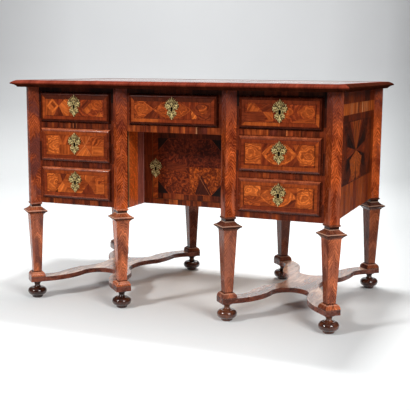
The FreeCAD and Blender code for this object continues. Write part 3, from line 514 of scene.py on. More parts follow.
class Panel:
    """Veneer pieces laid on one flat face; their places are in millimetres from the face's own origin."""

    draws = random.Random(17)
    base_lift = 0.3
    level_lift = 0.12
    top_level = 4
    shade_reach = 0.08
    upright = (0, 0, 1)

    def __init__(self, name, body, origin, across=(1, 0, 0), up=upright, slot="parquetry_veneer", top=None,
                 material=VENEER):
        self.name = name
        self.body = body
        self.slot = slot
        self.across = Vector(across)
        self.up = Vector(up)
        self.out = self.across.cross(self.up)
        self.origin = Vector(origin)
        self.top = top
        self.material = material
        self.vertices = []
        self.faces = []
        self.loops = []

    def lay(self, points, colour, grain=0.0, level=0, eye=None, foot=-0.2, burl=1.0, calm=0.15):
        """One piece: its outline, tone, grain in degrees, layer, and the eye of an oyster's rings."""
        points = list(points)
        if twice_area(points) < 0:
            points.reverse()
        lift = self.base_lift + self.level_lift * level
        if self.top is not None:
            lift = self.top - self.level_lift * (self.top_level - level)
        shade = 1 + self.draws.uniform(-self.shade_reach, self.shade_reach)
        seed = (self.draws.random(), calm)
        red, green, blue = tone(colour)
        tint = (red * shade, green * shade ** 1.3, blue * shade ** 1.3, 0.0 if eye is None else burl)
        count = len(points)
        centre = eye or (sum(p[0] for p in points) / count, sum(p[1] for p in points) / count)
        turn = math.radians(grain)
        start = len(self.vertices)
        for height in (foot, lift):
            for u, v in points:
                self.vertices.append(self.origin + (self.across * u + self.up * v + self.out * height) * MM)
        rings = [[start + k for k in reversed(range(count))], [start + count + k for k in range(count)]]
        for k in range(count):
            following = (k + 1) % count
            rings.append([start + k, start + following, start + count + following, start + count + k])
        self.faces += rings
        for index in sum(rings, []):
            u, v = points[(index - start) % count]
            du, dv = (u - centre[0]) * MM, (v - centre[1]) * MM
            along = du * math.cos(turn) + dv * math.sin(turn)
            across = dv * math.cos(turn) - du * math.sin(turn)
            self.loops.append(((along, across), seed, tint))

    def line(self, path, colour, width=1.6, level=3):
        """Stringing along a path: one thin strip for each stretch."""
        for (u0, v0), (u1, v1) in zip(path, path[1:]):
            length = math.hypot(u1 - u0, v1 - v0)
            nu, nv = -(v1 - v0) / length * width / 2, (u1 - u0) / length * width / 2
            self.lay([(u0 + nu, v0 + nv), (u0 - nu, v0 - nv), (u1 - nu, v1 - nv), (u1 + nu, v1 + nv)],
                     colour, math.degrees(math.atan2(v1 - v0, u1 - u0)), level)

    def loop(self, points, colour, width=1.6, level=3):
        self.line(points + points[:1], colour, width, level)

    def band(self, u0, v0, u1, v1, text, grain=90.0, stacked=False, family=(80, 30, 12), share_of=0.35):
        """A row or a stack of blocks, such as "20 brick 5 amber", in tones drawn toward one family's."""
        words = text.split()
        shares = [float(word) for word in words[::2]]
        total = sum(shares)
        at = 0.0
        for share, colour in zip(shares, words[1::2]):
            low, high = at / total, (at + share) / total
            if stacked:
                corners = rect(u0, v0 + (v1 - v0) * low, u1, v0 + (v1 - v0) * high)
            else:
                corners = rect(u0 + (u1 - u0) * low, v0, u0 + (u1 - u0) * high, v1)
            muted = tuple(a + (b - a) * share_of for a, b in zip(TONES[colour], family))
            self.lay(corners, muted, grain)
            at += share

    def border(self, outer, width, tones, level=0, split=1):
        """A mitred cross-banded frame inside a rectangle: tones for its bottom, right, top and left."""
        u0, v0, u1, v1 = outer
        outside = rect(*outer)
        inside = rect(u0 + width, v0 + width, u1 - width, v1 - width)
        for side, words in enumerate(tones):
            a, b = outside[side], outside[(side + 1) % 4]
            d, c = inside[side], inside[(side + 1) % 4]
            tints = words.split() * split
            for k, tint in enumerate(tints):
                s, e = k / len(tints), (k + 1) / len(tints)
                self.lay([between(a, b, s), between(a, b, e), between(d, c, e), between(d, c, s)],
                         tint, 0.0 if side % 2 else 90.0, level, calm=0.5)

    def build(self):
        mesh = new_mesh(self.name, self.vertices, self.faces, self.material)
        mesh.uv_layers.new(name="grain")
        mesh.uv_layers.new(name="seed")
        mesh.color_attributes.new("tint", "FLOAT_COLOR", "CORNER")
        # The layers are looked up again, because each new one moves the others
        places, starts, colours = zip(*self.loops)
        mesh.uv_layers["grain"].data.foreach_set("uv", [c for pair in places for c in pair])
        mesh.uv_layers["seed"].data.foreach_set("uv", [c for pair in starts for c in pair])
        mesh.color_attributes["tint"].data.foreach_set("color", [c for four in colours for c in four])
        piece = new_object(self.name, mesh)
        fit_piece(piece, self.body)
        return piece


# Drawers: each one's own pattern, from the middle of its front, inside a cross-banded border

def pattern_left_top(p, top):
    p.lay(rect(-116, -top, 0, top), "honey", 90)
    p.lay(rect(0, -top, 116, top), "russet", 90)
    p.lay([(-112, 5), (-87, 31), (-62, 5), (-87, -21)], "amber", 45, 1)
    p.lay([(-102, 5), (-87, 21), (-71, 5), (-87, -11)], "honey", -45, 2)
    p.lay([(-86, top), (-38, top), (-62, 5)], "brick", 90, 1)
    p.lay([(-84, -top), (-42, -top), (-62, 5)], "walnut", 90, 1)
    p.lay([(-62, 5), (-34, 31), (-8, 5), (-34, -24)], "amber", -45, 2)
    p.lay([(-44, -5), (-10, -5), (-26, -22)], "amber", -20, 3)
    p.lay(rect(14, -top, 116, top), "brick", 0, 1, eye=(84, 10))
    p.lay([(26, 5), (52, 31), (78, 5), (52, -21)], "walnut", 45, 2)
    p.lay([(34, -9), (52, -21), (78, 5), (64, 18)], "honey", -45, 3)
    p.lay([(62, 8), (76, 28), (106, 28), (114, 8), (100, -6), (76, -6)], "russet", 0, 4, eye=(92, 12))
    p.lay([(84, -top), (116, -top), (100, -10)], "honey", 60, 2)


def pattern_left_middle(p, top):
    p.lay(rect(-116, -top, 116, top), "russet", 0)
    p.lay(rect(-108, -31, -64, 32), "amber", 0, 1, eye=(-70, -4))
    p.loop(rect(-108, -31, -64, 32), "honey", 1.6, 2)
    p.lay([(-62, top), (-20, top), (-20, 2), (-46, 2)], "russet", 60, 1)
    p.lay([(-62, top), (-46, 2), (-62, 2)], "honey", 90, 1)
    p.lay(rect(-60, -31, -22, 1), "honey", 90, 1)
    p.lay([(20, top), (62, top), (42, 2)], "honey", 90, 1)
    p.lay([(6, -top), (68, -top), (42, 2)], "amber", 60, 1)
    p.lay([(10, 24), (42, 2), (10, -12)], "russet", 0, 1)
    p.lay([(64, 30), (42, 2), (66, -22)], "russet", 0, 1)
    p.line([(20, top), (42, 2), (68, -top)], "rose", 1.8, 2)
    p.line([(62, top), (42, 2), (6, -top)], "rose", 1.8, 2)
    p.lay(rect(64, 3, 116, top), "russet", 0, 1, eye=(112, 6))
    p.lay(rect(68, -31, 114, 1), "amber", 0, 2, calm=0.5)
    p.lay(rect(74, -26, 108, -4), "amber", 0, 3, calm=0.5)


def pattern_left_bottom(p, top):
    p.lay(rect(-116, -top, 116, top), "honey", 0)
    p.lay(rect(-115, -top, -72, top), "amber", 0, 1, eye=(-78, 0))
    p.lay([(-72, top), (-62, top), (-52, 4), (-72, 4)], "honey", 90, 1)
    p.lay([(-62, top), (-34, top), (-52, 4)], "walnut", 90, 1)
    p.lay([(-52, 4), (-20, -top), (-82, -top)], "amber", 60, 1)
    p.lay([(-72, 4), (-52, 4), (-80, -26)], "russet", 0, 2)
    p.lay([(26, top), (78, top), (52, 4)], "honey", 90, 1)
    p.lay([(24, -top), (80, -top), (52, 4)], "brick", 90, 1)
    p.lay([(20, 28), (52, 4), (20, -22)], "russet", 20, 1)
    p.lay([(80, top), (52, 4), (80, -26)], "russet", 0, 1)
    p.lay(rect(80, 4, 116, top), "russet", 0, 2, eye=(114, 6))
    p.lay(rect(84, -30, 116, 2), "amber", 0, 2, calm=0.5)
    p.lay(rect(90, -24, 110, -4), "honey", 0, 3, calm=0.5)


def pattern_right_top(p, top):
    p.lay(rect(-118, -top, -14, top), "brick", 10)
    p.lay(rect(-14, -top, 118, top), "brick", 0, 0, eye=(96, 5))
    p.lay([(-106, 31), (-94, 31), (-66, 4), (-110, 4)], "honey", 62, 1)
    p.lay([(-92, 31), (-84, 31), (-58, 4), (-66, 4)], "russet", 45, 1)
    p.lay(rect(-118, -26, -50, 2), "walnut", 0, 1)
    p.lay(rect(-60, 4, -22, top), "walnut", 30, 1)
    p.lay([(-56, 3), (-22, 3), (-22, -20), (-38, -20)], "honey", -50, 2)
    p.lay([(-50, -26), (-38, -20), (-22, -20), (-22, -26)], "russet", 0, 1)
    p.lay([(14, 31), (48, 6), (14, -22)], "russet", 0, 1, eye=(14, 4))
    p.lay([(56, 5), (80, 25), (106, 25), (115, 5), (106, -14), (80, -14)], "russet", 0, 1, eye=(98, 5))
    p.lay([(70, 5), (86, 17), (102, 15), (107, 5), (102, -5), (86, -7)], "honey", 0, 2, eye=(98, 5))
    p.lay([(40, -top), (118, -top), (118, -16), (64, -16)], "russet", 8, 1)


def pattern_right_middle(p, top):
    p.lay(rect(-118, -top, 118, top), "brick", 90)
    p.lay(rect(-114, -31, -60, 34), "honey", 0, 1, eye=(-92, 4))
    p.loop(rect(-114, -31, -60, 34), "russet", 1.6, 2)
    p.lay(lens(0, 2, 58, top - 1), "honey", 0, 1, eye=(2, -6))
    p.lay(lens(0, 2, 46, 25), "russet", 0, 2, eye=(0, -10))
    p.line(lens(0, 2, 58, top - 1)[:13], "amber", 1.4, 3)
    p.line(lens(0, 2, 58, top - 1)[12:], "amber", 1.2, 3)
    p.lay([(58, -2), (78, 34), (114, 34), (118, -28), (72, -31)], "honey", 0, 1, eye=(94, 2))
    p.lay([(44, 34), (78, 34), (60, 6)], "russet", 60, 2)
    p.lay([(40, -34), (70, -34), (58, -4)], "walnut", 60, 2)
    p.lay([(-60, 34), (-36, 34), (-58, 8)], "brick", 60, 2)


def pattern_right_bottom(p, top):
    p.lay(rect(-118, -top, 118, top), "russet", 0)
    p.lay(rect(-116, -2, -60, top), "amber", 0, 1, eye=(-96, 12))
    p.lay(rect(-116, -top, -60, -4), "russet", 0, 1, eye=(-96, 12))
    p.lay(lens(-2, 0, 60, top - 1), "honey", 0, 1, eye=(-30, -4))
    p.lay([(-58, -1), (-24, 24), (-14, 0), (-24, -26)], "honey", 0, 2, eye=(-44, 0))
    p.lay([(24, 29), (52, 10), (58, 0), (24, -4)], "amber", 70, 2)
    p.lay([(24, -30), (54, -30), (60, -6), (44, -8)], "walnut", 40, 2)
    p.lay(rect(62, -top, 112, top), "honey", 0, 1, eye=(84, -2))
    p.lay([(70, -16), (78, 22), (98, 24), (104, -14), (88, -26)], "amber", 0, 2, eye=(88, 2))


def pattern_centre(p, top):
    p.lay(rect(-140, -top, 140, top), "brick", 90)
    p.lay([(-140, top), (-108, top), (-70, 3), (-108, -top), (-140, -top)], "russet", 0, 1,
          eye=(-106, 3))
    p.lay([(-126, 20), (-104, 20), (-82, 3), (-104, -14), (-126, -14)], "honey", 0, 2, eye=(-106, 3))
    p.line([(-108, top), (-70, 3), (-108, -top)], "honey", 1.6, 3)
    p.lay([(-108, top), (-36, top), (-68, 5)], "walnut", 60, 1)
    p.lay([(-108, -top), (-36, -top), (-68, 1)], "walnut", 60, 1)
    p.lay(lens(0, 2, 68, top - 1)[:13], "brick", 0, 1, eye=(24, 3))
    p.lay(lens(0, 2, 68, top - 1)[12:] + [(-68, 2)], "russet", 0, 1, eye=(24, 0))
    p.lay(lens(-26, 3, 34, 20), "russet", 0, 2, eye=(-34, 3))
    p.lay(lens(34, 3, 24, 16), "russet", 0, 2, eye=(40, 6))
    p.line(lens(0, 2, 68, top - 1)[:13], "honey", 1.6, 3)
    p.line(lens(0, 2, 68, top - 1)[12:] + [(-68, 2)], "honey", 1.6, 3)
    p.lay([(70, 2), (90, -18), (86, -26), (71, -27)], "amber", 60, 3)
    p.lay([(140, top), (104, top), (70, 3), (104, -top), (140, -top)], "walnut", 0, 1, eye=(110, 8))
    p.lay([(96, 4), (112, 20), (126, 14), (124, -6), (104, -10)], "russet", 0, 2, eye=(112, 8))


# Painted shade: the drawers of the top row have a dark upper border, for the shade under the top
PATTERNS = {
    "left_top": (pattern_left_top, ("brick", "walnut", "umber", "russet")),
    "left_middle": (pattern_left_middle, ("brick", "walnut", "russet", "brick")),
    "left_bottom": (pattern_left_bottom, ("brick", "russet", "russet", "brick")),
    "right_top": (pattern_right_top, ("honey honey brick brick", "honey brick", "walnut", "walnut")),
    "right_middle": (pattern_right_middle, ("russet", "russet", "brick", "brick")),
    "right_bottom": (pattern_right_bottom, ("brick", "russet", "russet", "russet")),
    "centre": (pattern_centre, ("honey brick brick", "brick", "umber", "russet")),
}
FIELD_INSET = 9.5
BORDER = 14.5
BEAD_INSET = 1.2


def drawer_face(name):
    """The middle of a drawer's front in metres, and half its width and height in millimetres."""
    low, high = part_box(f"drawer_{name}_front")
    middle = Vector(((low.x + high.x) / 2, low.y, (low.z + high.z) / 2))
    return middle, (high.x - low.x) / 2 / MM, (high.z - low.z) / 2 / MM


def bead_ring(drawer, middle, half_u, half_v, material, radius=1.5, steps=8):
    """A half-round bead mitred round the field of a drawer's front."""
    name = f"drawer_{drawer}_bead"
    turns = [math.pi * k / steps for k in range(steps + 1)]
    profile = [(radius * math.cos(a), radius * 0.9 * math.sin(a)) for a in turns]
    profile += [(-radius, -0.3), (radius, -0.3)]
    count = len(profile)
    vertices = []
    faces = []
    for su, sv in ((-1, -1), (1, -1), (1, 1), (-1, 1)):
        for side, height in profile:
            vertices.append(middle + Vector((su * (half_u + side), -height, sv * (half_v + side))) * MM)
    for corner in range(4):
        here, there = corner * count, (corner + 1) % 4 * count
        for k in range(count):
            following = (k + 1) % count
            faces.append((here + k, there + k, there + following, here + following))
    ring = new_object(name, new_mesh(name, vertices, faces, material))
    fit_piece(ring, f"drawer_{drawer}")


def dress_drawer(name):
    pattern, border_tones = PATTERNS[name]
    middle, half_u, half_v = drawer_face(name)
    half_u -= FIELD_INSET
    half_v -= FIELD_INSET
    p = Panel(f"drawer_{name}_marquetry", f"drawer_{name}", middle)
    p.border((-half_u, -half_v, half_u, half_v), BORDER, border_tones)
    pattern(p, half_v - BORDER)
    p.loop(rect(BORDER - half_u, BORDER - half_v, half_u - BORDER, half_v - BORDER), "umber", 0.9)
    p.build()
    # The top row of drawers lies in the top's shadow, so its mouldings take a darker copy of the material
    # as painted shade
    moulding = SHADED_MOULDING if name.endswith(("top", "centre")) else MOULDING_WOOD
    paint(f"drawer_{name}_front", moulding)
    bead_ring(name, middle, half_u - BEAD_INSET, half_v - BEAD_INSET, moulding)


# Front rails and stiles: short blocks with the grain across them, and heights in millimetres

RAIL_FAMILIES = {"left": (58, 20, 8), "right": (104, 42, 15)}
RAIL_HEIGHTS = ((625, 643), (488, 505), (354, 373))
# The rails under a bank's three drawers, from the top one down
RAILS = {
    "left": (
        "14 brick 8 umber 12 brick 6 walnut 10 honey 14 brick 16 walnut 7 russet 10 umber 20 russet"
        " 8 umber 3 rose 9 umber 3 rose 22 walnut 12 russet 18 brick 9 umber 30 russet 16 walnut 14 brick"
        " 12 umber",
        "18 walnut 26 brick 12 umber 30 brick 14 walnut 34 brick 20 walnut 26 umber 30 brick 18 plum"
        " 24 brick 12 walnut",
        "26 russet 14 umber 30 honey 16 walnut 24 brick 10 umber 36 russet 20 walnut 30 honey 14 umber"
        " 36 brick",
    ),
    "right": (
        "20 brick 26 russet 30 honey 20 russet 6 amber 4 umber 26 plum 24 umber 5 umber 6 rose 18 brick"
        " 8 walnut 16 russet 10 umber 22 brick 9 walnut 20 umber 14 brick",
        "24 walnut 40 brick 3 umber 30 russet 3 honey 36 brick 16 walnut 3 umber 30 brick 24 umber"
        " 34 russet 28 brick",
        "22 plum 16 honey 26 umber 30 brick 12 plum 22 russet 34 umber 14 brick 30 plum 26 walnut"
        " 20 brick",
    ),
}
# Painted shade: the head rail under the top is laid in ebony and umber
HEAD_RAIL_SHADE = "30 ebony 40 umber 30 ebony"
CENTRE_RAIL = ("16 russet 26 honey 22 russet 12 brick 4 umber 14 brick 4 umber 26 honey 16 walnut"
               " 26 brick 10 umber 12 honey 24 russet 14 brick 10 honey 34 brick 8 walnut 5 pale"
               " 18 umber 22 plum 30 russet 24 russet")
FRAME_FOOT = 354
FRAME_HEAD = 766
HEAD_RAIL = 750
CENTRE_RAIL_FOOT = 621
CENTRE_RAIL_HEAD = 643
DRAWER_PLAY = 0.5


def dress_front_frame():
    p = Panel("front_frame_marquetry", CARCASE, (0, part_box("front_frame")[0].y, 0))
    for side_name, sign in zip(SIDES, (-1, 1)):
        u0, u1 = sorted((sign * (INNER_X + POST_REACH), sign * (OUTER_X - POST_REACH)))
        middle, half_u, _ = drawer_face(f"{side_name}_top")
        gap = half_u + DRAWER_PLAY
        x = middle.x / MM
        for (z0, z1), text in zip(RAIL_HEIGHTS, RAILS[side_name]):
            p.band(x - gap, z0, x + gap, z1, text, family=RAIL_FAMILIES[side_name])
        p.band(x - gap, HEAD_RAIL, x + gap, FRAME_HEAD, HEAD_RAIL_SHADE, family=RAIL_FAMILIES[side_name])
        # Painted shade: the stiles beside each bank are laid in dark tones, ebony at their head under the
        # top
        for s0, s1 in ((u0, x - gap), (x + gap, u1)):
            p.band(s0, FRAME_FOOT, s1, FRAME_HEAD,
                   "60 walnut 90 brick 70 umber 80 walnut 60 umber 50 ebony", stacked=True, share_of=0.0)
    knee = INNER_X - POST_REACH
    p.band(-knee, CENTRE_RAIL_FOOT, knee, CENTRE_RAIL_HEAD, CENTRE_RAIL)
    p.band(-knee, HEAD_RAIL, knee, FRAME_HEAD, HEAD_RAIL_SHADE)
    half_u = drawer_face("centre")[1]
    for sign in (-1, 1):
        s0, s1 = sorted((sign * (half_u + DRAWER_PLAY), sign * knee))
        p.band(s0, CENTRE_RAIL_HEAD, s1, HEAD_RAIL, "30 walnut 50 brick 30 umber", stacked=True)
    p.build()


# Cupboard: its frame and its door

DOOR_GAP = 1.5
CUPBOARD_HEAD = 631.0


def dress_cupboard_frame():
    low, high = box_mm("cupboard_frame")
    door_low, door_high = box_mm("door_panel")
    p = Panel("cupboard_frame_marquetry", CARCASE, (0, low.y * MM, 0))
    d0, d1 = door_low.x - DOOR_GAP, door_high.x + DOOR_GAP
    z0, z1 = door_low.z - DOOR_GAP, door_high.z + DOOR_GAP
    p.band(low.x, low.z, high.x, z0,
           "20 umber 30 brick 26 honey 22 walnut 34 amber 18 umber 30 russet 12 umber"
           " 30 honey 24 plum 36 russet 18 honey 30 umber 26 brick")
    p.band(low.x, z1, high.x, CUPBOARD_HEAD, "60 walnut 80 umber 60 walnut")
    p.band(low.x, z0, d0, z1, "60 brick 90 walnut 80 brick", stacked=True)
    p.band(d1, z0, high.x, z1, "60 walnut 90 brick 80 walnut", stacked=True)
    p.build()


def dress_door():
    low, high = box_mm("door_panel")
    p = Panel("door_marquetry", "door", (0, low.y * MM, 0), material=BURL_VENEER)
    margin = 20
    blocks = 12
    # Painted shade: the side blocks above this height take darker tones, under the overhanging centre
    # drawer
    shaded_above = 500
    for k in range(blocks):
        v0 = low.z + (high.z - low.z) * k / blocks
        v1 = low.z + (high.z - low.z) * (k + 1) / blocks
        tints = ("russet", "brick", "honey") if v1 < shaded_above else ("brick", "walnut", "brick")
        p.lay(rect(low.x, v0, low.x + margin, v1), tints[k % 3], 40)
        p.lay(rect(high.x - margin, v0, high.x, v1), tints[k % 3], -40)
    f0, f1 = low.x + margin, high.x - margin
    g0, g1 = low.z + margin, high.z - margin
    p.band(f0, low.z, f1, g0,
           "20 umber 26 russet 16 brick 30 honey 18 walnut 30 russet 20 umber 26 honey 16 brick 24 umber")
    p.band(f0, g1, f1, high.z, "40 umber 50 walnut 40 umber")
    cu, cv = (f0 + f1) / 2, (g0 + g1) / 2
    cut_u, cut_v = 42, 46
    p.lay(rect(f0, g0, f1, g1), "ebony", 45)
    octagon = [(f0 + cut_u, g0), (f1 - cut_u, g0), (f1, g0 + cut_v), (f1, g1 - cut_v),
               (f1 - cut_u, g1), (f0 + cut_u, g1), (f0, g1 - cut_v), (f0, g0 + cut_v)]
    # Painted shade: the two upper quarters are darker than the two lower ones
    quarters = [
        ([(cu, cv), (f1, cv), octagon[3], octagon[4], (cu, g1)], (100, 36, 14), (cu + 90, cv + 84)),
        ([(cu, cv), (cu, g1), octagon[5], octagon[6], (f0, cv)], (104, 38, 15), (cu - 96, cv + 70)),
        ([(cu, cv), (f0, cv), octagon[7], octagon[0], (cu, g0)], (128, 52, 18), (cu - 84, cv - 80)),
        ([(cu, cv), (cu, g0), octagon[1], octagon[2], (f1, cv)], (158, 70, 22), (cu + 96, cv - 50)),
    ]
    for number, (points, colour, eye) in enumerate(quarters):
        p.lay(points, colour, 50 + 80 * number, 1, eye=eye, burl=0.85)
    p.loop(octagon, "brick", 1.6, 2)
    p.lay([(cu + 44, cv - 26), (cu + 84, g0 + 2), (cu + 20, g0 + 2)], "umber", 60, 2)
    p.line([(cu + 30, cv - 22), (cu + 78, g0 + 1)], "rose")
    p.line([(f1 - 1, cv - 26), (cu + 78, g0 + 1)], "honey", 1.4)
    p.lay([(cu - 88, cv + 14), (cu - 14, cv + 8), (cu - 14, cv - 18), (cu - 90, cv - 10)], "walnut", 10, 2)
    p.build()


# Sides, kneehole and back

def within_angle(spot, centre, a, b):
    def turn(p, q):
        return (p[0] - centre[0]) * (q[1] - centre[1]) - (p[1] - centre[1]) * (q[0] - centre[0])
    return turn(a, spot) > 1e-6 and turn(spot, b) > 1e-6


def star(p, cu, cv, half_u, half_v, words, level):
    """Rays from a centre to the edge of a rectangle, one for each tone."""
    tints = words.split()
    count = len(tints)
    rim = []
    for k in range(count):
        a = math.tau * (k - 0.5) / count - math.pi / 2
        du, dv = math.cos(a), math.sin(a)
        reach = min(half_u / max(abs(du), 1e-6), half_v / max(abs(dv), 1e-6))
        rim.append((cu + du * reach, cv + dv * reach))
    for k, colour in enumerate(tints):
        a, b = rim[k], rim[(k + 1) % count]
        spots = [(cu + su * half_u, cv + sv * half_v) for su in (-1, 1) for sv in (-1, 1)]
        corner = [spot for spot in spots if within_angle(spot, (cu, cv), a, b)]
        grain = math.degrees(math.atan2((a[1] + b[1]) / 2 - cv, (a[0] + b[0]) / 2 - cu))
        p.lay([(cu, cv), a] + corner + [b], colour, grain + 12, level)


# A side's heights, the foot and head of its field and the heads of the two bands above it,
# and how far its bands, its field and the star in it reach from its middle, in millimetres
SIDE_ROWS = (458, 664, 687, 724)
SIDE_REACH = 287
FIELD_REACH = 242
STAR_REACH = 136


def dress_side(side_name):
    low, high = box_mm(f"side_panel_{side_name}")
    sign = 1 if side_name == "right" else -1
    x = high.x if sign > 0 else low.x
    p = Panel(f"side_{side_name}_marquetry", CARCASE, (x * MM, 0, 0), (0, sign, 0), material=SIDE_VENEER)
    base, field, edge, frieze = SIDE_ROWS
    reach, wide = SIDE_REACH, FIELD_REACH
    p.band(-reach, frieze, reach, high.z,
           "40 brick 60 walnut 50 russet 70 walnut 40 brick 60 umber 50 brick", share_of=0.0)
    p.band(-reach, edge, reach, frieze,
           "24 amber 30 rose 26 honey 20 amber 30 honey 30 rose 14 amber 24 honey 20 rose 10 umber"
           " 34 honey 6 pale 20 amber 44 rose 16 honey 34 amber 30 honey", share_of=0.0)
    p.band(-reach, field, reach, edge,
           "70 brick 40 umber 70 brick 50 walnut 60 brick 40 umber 60 brick")
    p.band(-reach, low.z, reach, base,
           "60 russet 50 honey 46 russet 40 honey 60 russet 50 brick 60 russet 46 honey 40 russet"
           " 50 brick 60 russet", 84, share_of=0.0)
    p.band(-reach, base, -wide, field, "50 brick 60 russet 50 walnut 50 brick", stacked=True)
    p.band(wide, base, reach, field, "50 brick 60 russet 50 honey 50 brick", stacked=True)
    cv = (base + field) / 2
    p.lay(rect(-wide, base, wide, field), "umber")
    star(p, 0, cv, STAR_REACH, cv - base,
         "umber russet brick umber dusk brick dusk umber brick russet " * 2, 1)
    fan = (-62, -40, -27, -9, 9, 27, 40, 62)
    for a, b, colour in zip(fan, fan[1:], "honey umber amber brick amber umber honey".split()):
        p.lay([(0, cv - 4), (a, field - 2), (b, field - 2)], colour, 90, 2)
    for side in (-1, 1):
        p.lay([(0, cv), (side * 92, 534), (side * 58, 466), (side * 8, 466)], "honey", 90 + 40 * side, 2,
              eye=(side * 34, base))
        p.lay([(0, cv), (side * 4, 500), (side * 34, 478)], "amber", 90 + 30 * side, 3)
    for side in (-1, 1):
        u0, u1 = sorted((side * STAR_REACH, side * wide))
        cu = (u0 + u1) / 2
        corners = [(u0, cv), (cu, field - 4), (u1, cv), (cu, base + 4)]
        p.lay(rect(u0, base, u1, field), "umber", 0, 1)
        p.lay(corners, "walnut", 45, 2, eye=(cu, cv))
        p.loop(corners, "brick")
    p.loop(rect(-wide, base, wide, field), "umber", 3.0)
    p.build()


KNEE_FACE = 178.5
KNEE_HEAD = 620.5
KNEE_STRIP = 50


def dress_kneehole():
    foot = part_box("kneehole_sides")[0].z / MM
    door_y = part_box("cupboard_frame")[0].y / MM
    for side_name, sign in zip(SIDES, (-1, 1)):
        p = Panel(f"kneehole_{side_name}_marquetry", CARCASE, (sign * KNEE_FACE * MM, 0, 0), (0, -sign, 0))
        u0, u1 = sorted((sign * SIDE_REACH, -sign * door_y))
        p.lay(rect(u0, foot, u1, KNEE_HEAD), (196, 88, 32), 90, eye=(u0 - 40, 300), burl=0.6)
        s0, s1 = (u1 - KNEE_STRIP, u1) if sign < 0 else (u0, u0 + KNEE_STRIP)
        p.lay(rect(s0, foot, s1, KNEE_HEAD), (146, 80, 68), 90, 1)
        inner = s1 - 4 if sign < 0 else s0 + 4
        p.line([(inner, foot), (inner, KNEE_HEAD)], (196, 140, 134), 4.0, 2)
        p.build()


def dress_back():
    low, high = box_mm("back_panels")
    p = Panel("back_marquetry", CARCASE, (0, high.y * MM, 0), (-1, 0, 0), slot="back_veneer")
    wide, narrow = 34, 10
    edges = (-OUTER_X, -INNER_X, INNER_X, OUTER_X)
    for left, right in zip(edges, edges[1:]):
        u0, u1 = left + POST_REACH, right - POST_REACH
        p.border((u0, low.z, u1, high.z), wide, ("brick walnut brick umber", "russet brick",
                                                 "walnut brick umber brick", "brick russet"))
        p.border((u0 + wide, low.z + wide, u1 - wide, high.z - wide), narrow,
                 ("amber", "honey", "amber", "honey"), 0, 6)
        inset = wide + narrow
        f0, f1, g0, g1 = u0 + inset, u1 - inset, low.z + inset, high.z - inset
        cu, cv = (f0 + f1) / 2, (g0 + g1) / 2
        p.lay(rect(f0, g0, f1, g1), "walnut")
        corners = [(f0, cv), (cu, g1), (f1, cv), (cu, g0)]
        for a, b, colour in zip(corners, corners[1:] + corners[:1], ("honey", "russet") * 2):
            eye = between((cu, cv), between(a, b, 0.5), 0.6)
            p.lay([(cu, cv), a, b], colour, 0, 1, eye=eye)
        p.loop(corners, "amber", 2.0, 2)
        p.lay(oval(cu, cv, 30, 30), "brick", 0, 2, eye=(cu, cv))
        p.loop(oval(cu, cv, 30, 30), "amber")
    p.build()


# Top board: three parquetry fields in a cross-banded border, all flush with its surface

def dress_top():
    low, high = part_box("top_board")
    half_u, half_v = high.x / MM, high.y / MM
    p = Panel("top_board_parquetry", CARCASE, (0, 0, low.z), (1, 0, 0), (0, 1, 0), "top_veneer",
              (high.z - low.z) / MM, POLISHED_VENEER)
    wide, narrow = 52, 8
    p.lay(rect(-half_u, -half_v, half_u, half_v), "brick", foot=0.0)
    p.border((-half_u, -half_v, half_u, half_v), wide, ("russet brick " * 6, "russet brick " * 3,
                                                        "brick russet " * 6, "brick russet " * 3), 1)
    p.border((-half_u + wide, -half_v + wide, half_u - wide, half_v - wide), narrow,
             ("amber", "honey", "amber", "honey"), 1, 16)
    inset = wide + narrow
    f0, f1, g0, g1 = -half_u + inset, half_u - inset, -half_v + inset, half_v - inset
    third = (f1 - f0) / 3
    for number in range(3):
        u0, u1 = f0 + third * number, f0 + third * (number + 1)
        cu, cv = (u0 + u1) / 2, 0.0
        corners = rect(u0, g0, u1, g1)
        for a, b, colour in zip(corners, corners[1:] + corners[:1], ("honey", "russet") * 2):
            edge = between(a, b, 0.5)
            eye = between((cu, cv), edge, 0.55)
            p.lay([(cu, cv), a, edge], colour, 0, 1, eye=eye)
            p.lay([(cu, cv), edge, b], colour, 0, 1, eye=eye)
        if number == 1:
            p.lay(oval(cu, cv, 150, 200, 48), "walnut", 0, 2, eye=(cu, cv))
            star(p, cu, cv, 96, 96, "amber brick " * 8, 3)
            p.loop(oval(cu, cv, 150, 200, 48), "amber", 3.0)
        else:
            lozenge = [(u0 + 20, cv), (cu, g0 + 20), (u1 - 20, cv), (cu, g1 - 20)]
            p.lay(lozenge, "russet", 0, 2, eye=(cu, cv))
            p.loop(lozenge, "amber", 2.6)
            p.lay(oval(cu, cv, 62, 84, 40), "honey", 0, 3, eye=(cu, cv + 10))
        p.loop(rect(u0, g0, u1, g1), "umber", 2.4)
    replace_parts(p.build(), "top_board")


# Key plates: scrolls, leaves and bosses raised on the flat plates

